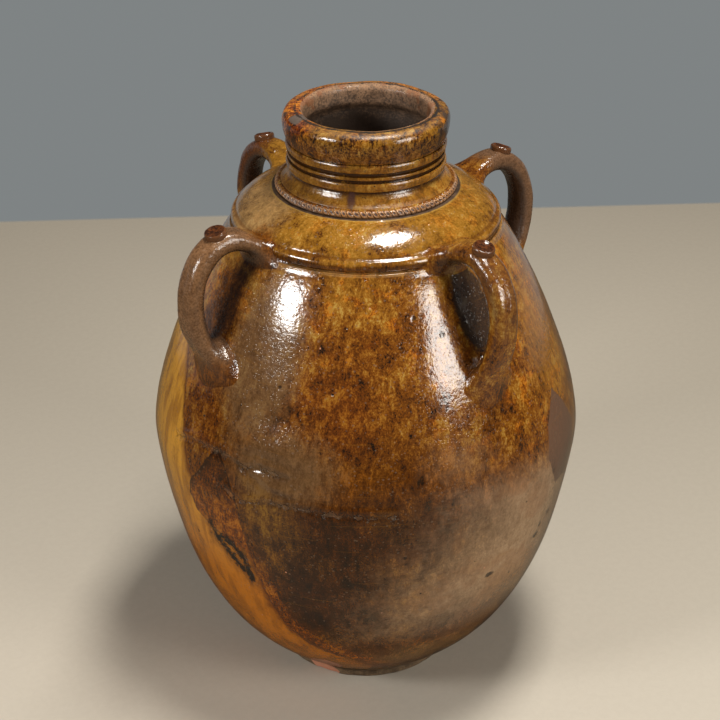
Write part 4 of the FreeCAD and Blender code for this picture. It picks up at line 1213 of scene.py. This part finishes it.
def make_handle(side, drop, upper_spread, lower_spread, tail, seed):
    """Pulled handle, swept along its bow and smeared on to the jar at both roots. Each spread is how far the
    clay runs out to either side, tail how far it runs down below the lower root, and drop how low the upper
    root sits."""
    rows = 180
    around = 80
    # Rows lie closest at the roots
    even = np.linspace(0.0, 1.0, rows)
    shares = 1.08 * (even - 0.11 * np.sin(2.0 * math.pi * even)) - 0.02
    angles = np.arange(around) * (2.0 * math.pi / around)
    local, middle = handle_sweep(shares, angles, drop)
    vertices = local @ spin_to(side)
    centres = middle @ spin_to(side)
    share_of = np.repeat(shares, around)
    away, direction = off_wall(vertices)
    out = vertices[:, :2] / np.hypot(vertices[:, 0], vertices[:, 1])[:, None]
    level = np.hypot(direction[:, 0], direction[:, 1])
    uphill = np.stack((-direction[:, 2] * out[:, 0], -direction[:, 2] * out[:, 1], level), 1)
    spread = vertices - centres
    spread -= (spread * direction).sum(1)[:, None] * direction
    spread = unit(spread)
    hug = np.clip(1.0 - away / FILLET_REACH, 0.0, 1.0)
    near = 1.0 - np.sqrt(1.0 - hug**2)
    climb = (spread * uphill).sum(1)
    above = np.clip(climb, 0.0, 1.0)
    below = np.clip(-climb, 0.0, 1.0)
    upper = np.where(local[:, 1] > 0.0, upper_spread[1], upper_spread[0])
    upper = upper * (1.0 - 0.8 * above) + (UNDER_SPREAD - upper) * below**2
    lower = np.where(local[:, 1] > 0.0, lower_spread[1], lower_spread[0])
    lower = lower * (1.0 - below) + tail * below
    width = np.where(share_of < 0.5, upper, lower) * (1.0 + 0.25 * lumps(vertices, 24.0, seed))
    vertices = vertices + spread * (near * width)[:, None]
    # The smeared edge hugs the uneven wall and dips a little into it
    after, direction = off_wall(vertices)
    on_flank = 1.0 - ease(vertices[:, 2], LEDGE_HEIGHT - 6.0, LEDGE_HEIGHT)
    sunk = (ROOT_DEPTH - wall_relief(Surface(vertices)) * on_flank) * hug**2
    vertices = vertices + direction * ((away - sunk - after) * ease(hug, 0.0, 0.35))[:, None]
    out = unit(vertices - centres)
    pulled = uneven(vertices, (0.9, 26.0, seed + 1), (0.3, 8.0, seed + 2)) - 0.4
    vertices = vertices + out * (pulled * (1.0 - ease(hug, 0.3, 0.9)))[:, None]
    faces = ring_faces(rows, around, False)
    faces.append(tuple(range(around))[::-1])
    faces.append(tuple(range((rows - 1) * around, rows * around)))
    fields = {"root": np.clip(1.0 - away / 55.0, 0.0, 1.0), "outer": np.cos(np.tile(angles, rows))}
    make_piece(f"handle_{side}", vertices, faces, HANDLE_GLAZES[side], fields)


def make_button(side, seed):
    """Pellet of clay pressed on to the crown of a handle, dished by the thumb."""
    place, ahead = bezier(HANDLE_LINE, BUTTON_SHARE)
    up = np.array((-ahead[1], ahead[0]))
    base = place + up * (HANDLE_THICKNESS / 2.0 - BUTTON_SEAT)
    top = BUTTON_SEAT + BUTTON_RISE
    dish = top - BUTTON_HOLLOW
    crest = BUTTON_RADIUS * 0.84
    brim = (BUTTON_RADIUS * 1.02, BUTTON_SEAT + BUTTON_RISE * 0.5)
    outline = trace(
        (0.0, 0.0),
        ((BUTTON_RADIUS, 0.0), 4),
        ((BUTTON_RADIUS, BUTTON_SEAT), 4),
        (brim, (BUTTON_RADIUS * 0.94, top), (crest, top), 14),
        ((crest * 0.88, top), (crest * 0.86, dish), (0.0, dish), 14),
    )
    vertices, faces = turn_outline(outline, 72)
    from_middle = np.hypot(vertices[:, 0], vertices[:, 1])
    pressed = uneven(vertices + 100.0 * seed, (0.5, 9.0, seed), (0.2, 3.5, seed + 1)) - 0.3
    vertices[:, 2] += np.where(vertices[:, 2] > 1.0, pressed, 0.0)
    swell = 1.0 + 0.05 * lumps(vertices + 50.0 * seed, 12.0, seed + 2)
    vertices[:, :2] *= swell[:, None]
    level = base + vertices[:, :1] * ahead + vertices[:, 2:] * up
    local = np.stack((level[:, 0], -vertices[:, 1], level[:, 1]), 1)
    fields = {"edge": ease(from_middle, BUTTON_RADIUS * 0.80, BUTTON_RADIUS * 0.98)}
    make_piece(f"button_{side}", local @ spin_to(side), faces, pellet_glaze, fields)


make_foot()
make_lower_body()
make_upper_body()
make_shoulder()
make_neck()
make_rim()
make_rope_cordon()
make_handle("front", 2.0, (18.0, 16.0), (7.0, 14.0), 30.0, 50)
make_handle("right", 1.0, (18.0, 16.0), (14.0, 14.0), 28.0, 60)
make_handle("back", 0.0, (16.0, 18.0), (14.0, 14.0), 28.0, 70)
make_handle("left", 8.0, (14.0, 20.0), (16.0, 22.0), 28.0, 80)
for number, side in enumerate(SIDES):
    make_button(side, 90 + 10 * number)


# Floor, backdrop tone, lights and camera

CAMERA_PLACE = (-0.9578, -1.2475, 1.1967)
CAMERA_TARGET = (-0.0047, 0.0036, 0.3396)
CAMERA_LENS = 86.4
CAMERA_AZIMUTH = -37.3
WALL_START = (-0.6165, 1.1130)
WALL_END = (0.6193, 1.1935)
FLOOR_HALF = 40.0
FLOOR_PAIR = ((0.60, 0.548, 0.464), (0.56, 0.502, 0.411))
FLOOR_SPECK = (0.42, 0.37, 0.30)
FLOOR_MIRRORED = (0.12, 0.10, 0.07)
BACKDROP = (0.212, 0.228, 0.231)
WORLD_COLOUR = (0.90, 0.84, 0.78, 1.0)
WORLD_STRENGTH = 0.05
LIGHT_DISTANCE = 2.2
LIGHT_TARGET = Vector((0.0, 0.0, 0.36))

# Softboxes: name, azimuth, elevation, width, height, watts and colour
SOFTBOXES = (
    ("left_softbox", -93.0, 27.0, 0.56, 0.36, 21.0, (1.0, 0.975, 0.94)),
    ("right_softbox", 14.0, 22.0, 0.80, 0.84, 22.0, (1.0, 0.965, 0.90)),
    ("overhead_softbox", 36.0, 78.5, 0.74, 0.44, 46.0, (1.0, 0.96, 0.89)),
)


def from_camera(across, ahead):
    """Turns a place on the floor, given across and ahead as the camera sees it, into the jar's frame."""
    turn = math.radians(-CAMERA_AZIMUTH)
    along = math.cos(turn)
    aside = math.sin(turn)
    return (across * along + ahead * aside, -across * aside + ahead * along)


def make_floor():
    """Floor that turns into an even backdrop tone beyond a line, so that no wall has to stand there."""
    corners = [(out * FLOOR_HALF, up * FLOOR_HALF, 0) for out, up in ((-1, -1), (1, -1), (1, 1), (-1, 1))]
    mesh = bpy.data.meshes.new("floor")
    mesh.from_pydata(corners, [], [(0, 1, 2, 3)])
    make = Nodes("studio_floor")
    start = from_camera(*WALL_START)
    end = from_camera(*WALL_END)
    length = math.hypot(end[0] - start[0], end[1] - start[1])
    normal = (-(end[1] - start[1]) / length, (end[0] - start[0]) / length, 0.0)
    across = make.add("VectorMath", {0: make.coordinates, 1: normal}, operation="DOT_PRODUCT")["Value"]
    beyond = make.weigh((across, 1.0), (-(normal[0] * start[0] + normal[1] * start[1]), 1.0))
    soft = make.noise(600.0, 2.0, 0.5)
    specks = make.noise(9.0, 4.0, 0.7)
    # The floor is painted a little darker towards the backdrop line, a painted shade for the light falling
    # off
    make.colour = make.mix(make.share(-1.6, 0.0, (beyond, 1.0), (soft, 0.3)), *FLOOR_PAIR)
    make.lay(make.between(specks, 0.35, 0.65, top=0.10), FLOOR_SPECK)
    make.lay(make.add("LightPath")["Is Glossy Ray"], FLOOR_MIRRORED)
    backdrop = make.add("Emission", {"Color": BACKDROP})["Emission"]
    floor_tone = make.shader.outputs["BSDF"]
    edge = make.between(beyond, -0.006, 0.006)
    blend = make.add("MixShader", {"Fac": edge, 1: floor_tone, 2: backdrop})["Shader"]
    make.put(blend, make.tree.nodes["Material Output"].inputs["Surface"])
    mesh.materials.append(make.finish(make.between(specks, 0.3, 0.7, 0.55, 0.7), make.bumps((specks, 0.1))))
    floor = add_object("floor", mesh)


def add_light(name, azimuth, elevation, width, height, watts, colour):
    """Softbox at an azimuth from the front towards the right, facing the middle of the jar."""
    data = bpy.data.lights.new(name, "AREA")
    data.shape = "RECTANGLE"
    data.size = width
    data.size_y = height
    data.energy = watts
    data.color = colour
    turn = math.radians(azimuth)
    lift = math.radians(elevation)
    away = Vector((math.sin(turn) * math.cos(lift), -math.cos(turn) * math.cos(lift), math.sin(lift)))
    light = add_object(name, data)
    light.location = LIGHT_TARGET + away * LIGHT_DISTANCE
    light.rotation_euler = (-away).to_track_quat("-Z", "Y").to_euler()


def add_camera():
    data = bpy.data.cameras.new("camera")
    data.lens = CAMERA_LENS
    data.sensor_width = 36.0
    data.clip_end = 100.0
    camera = add_object("camera", data)
    camera.location = CAMERA_PLACE
    ahead = Vector(CAMERA_TARGET) - Vector(CAMERA_PLACE)
    camera.rotation_euler = ahead.to_track_quat("-Z", "Y").to_euler()
    bpy.context.scene.camera = camera


def set_world():
    world = bpy.data.worlds.new("studio")
    world.use_nodes = True
    background = world.node_tree.nodes["Background"]
    background.inputs["Color"].default_value = WORLD_COLOUR
    background.inputs["Strength"].default_value = WORLD_STRENGTH
    bpy.context.scene.world = world


make_floor()
for softbox in SOFTBOXES:
    add_light(*softbox)
add_camera()
set_world()
bpy.context.scene.view_settings.view_transform = "Standard"
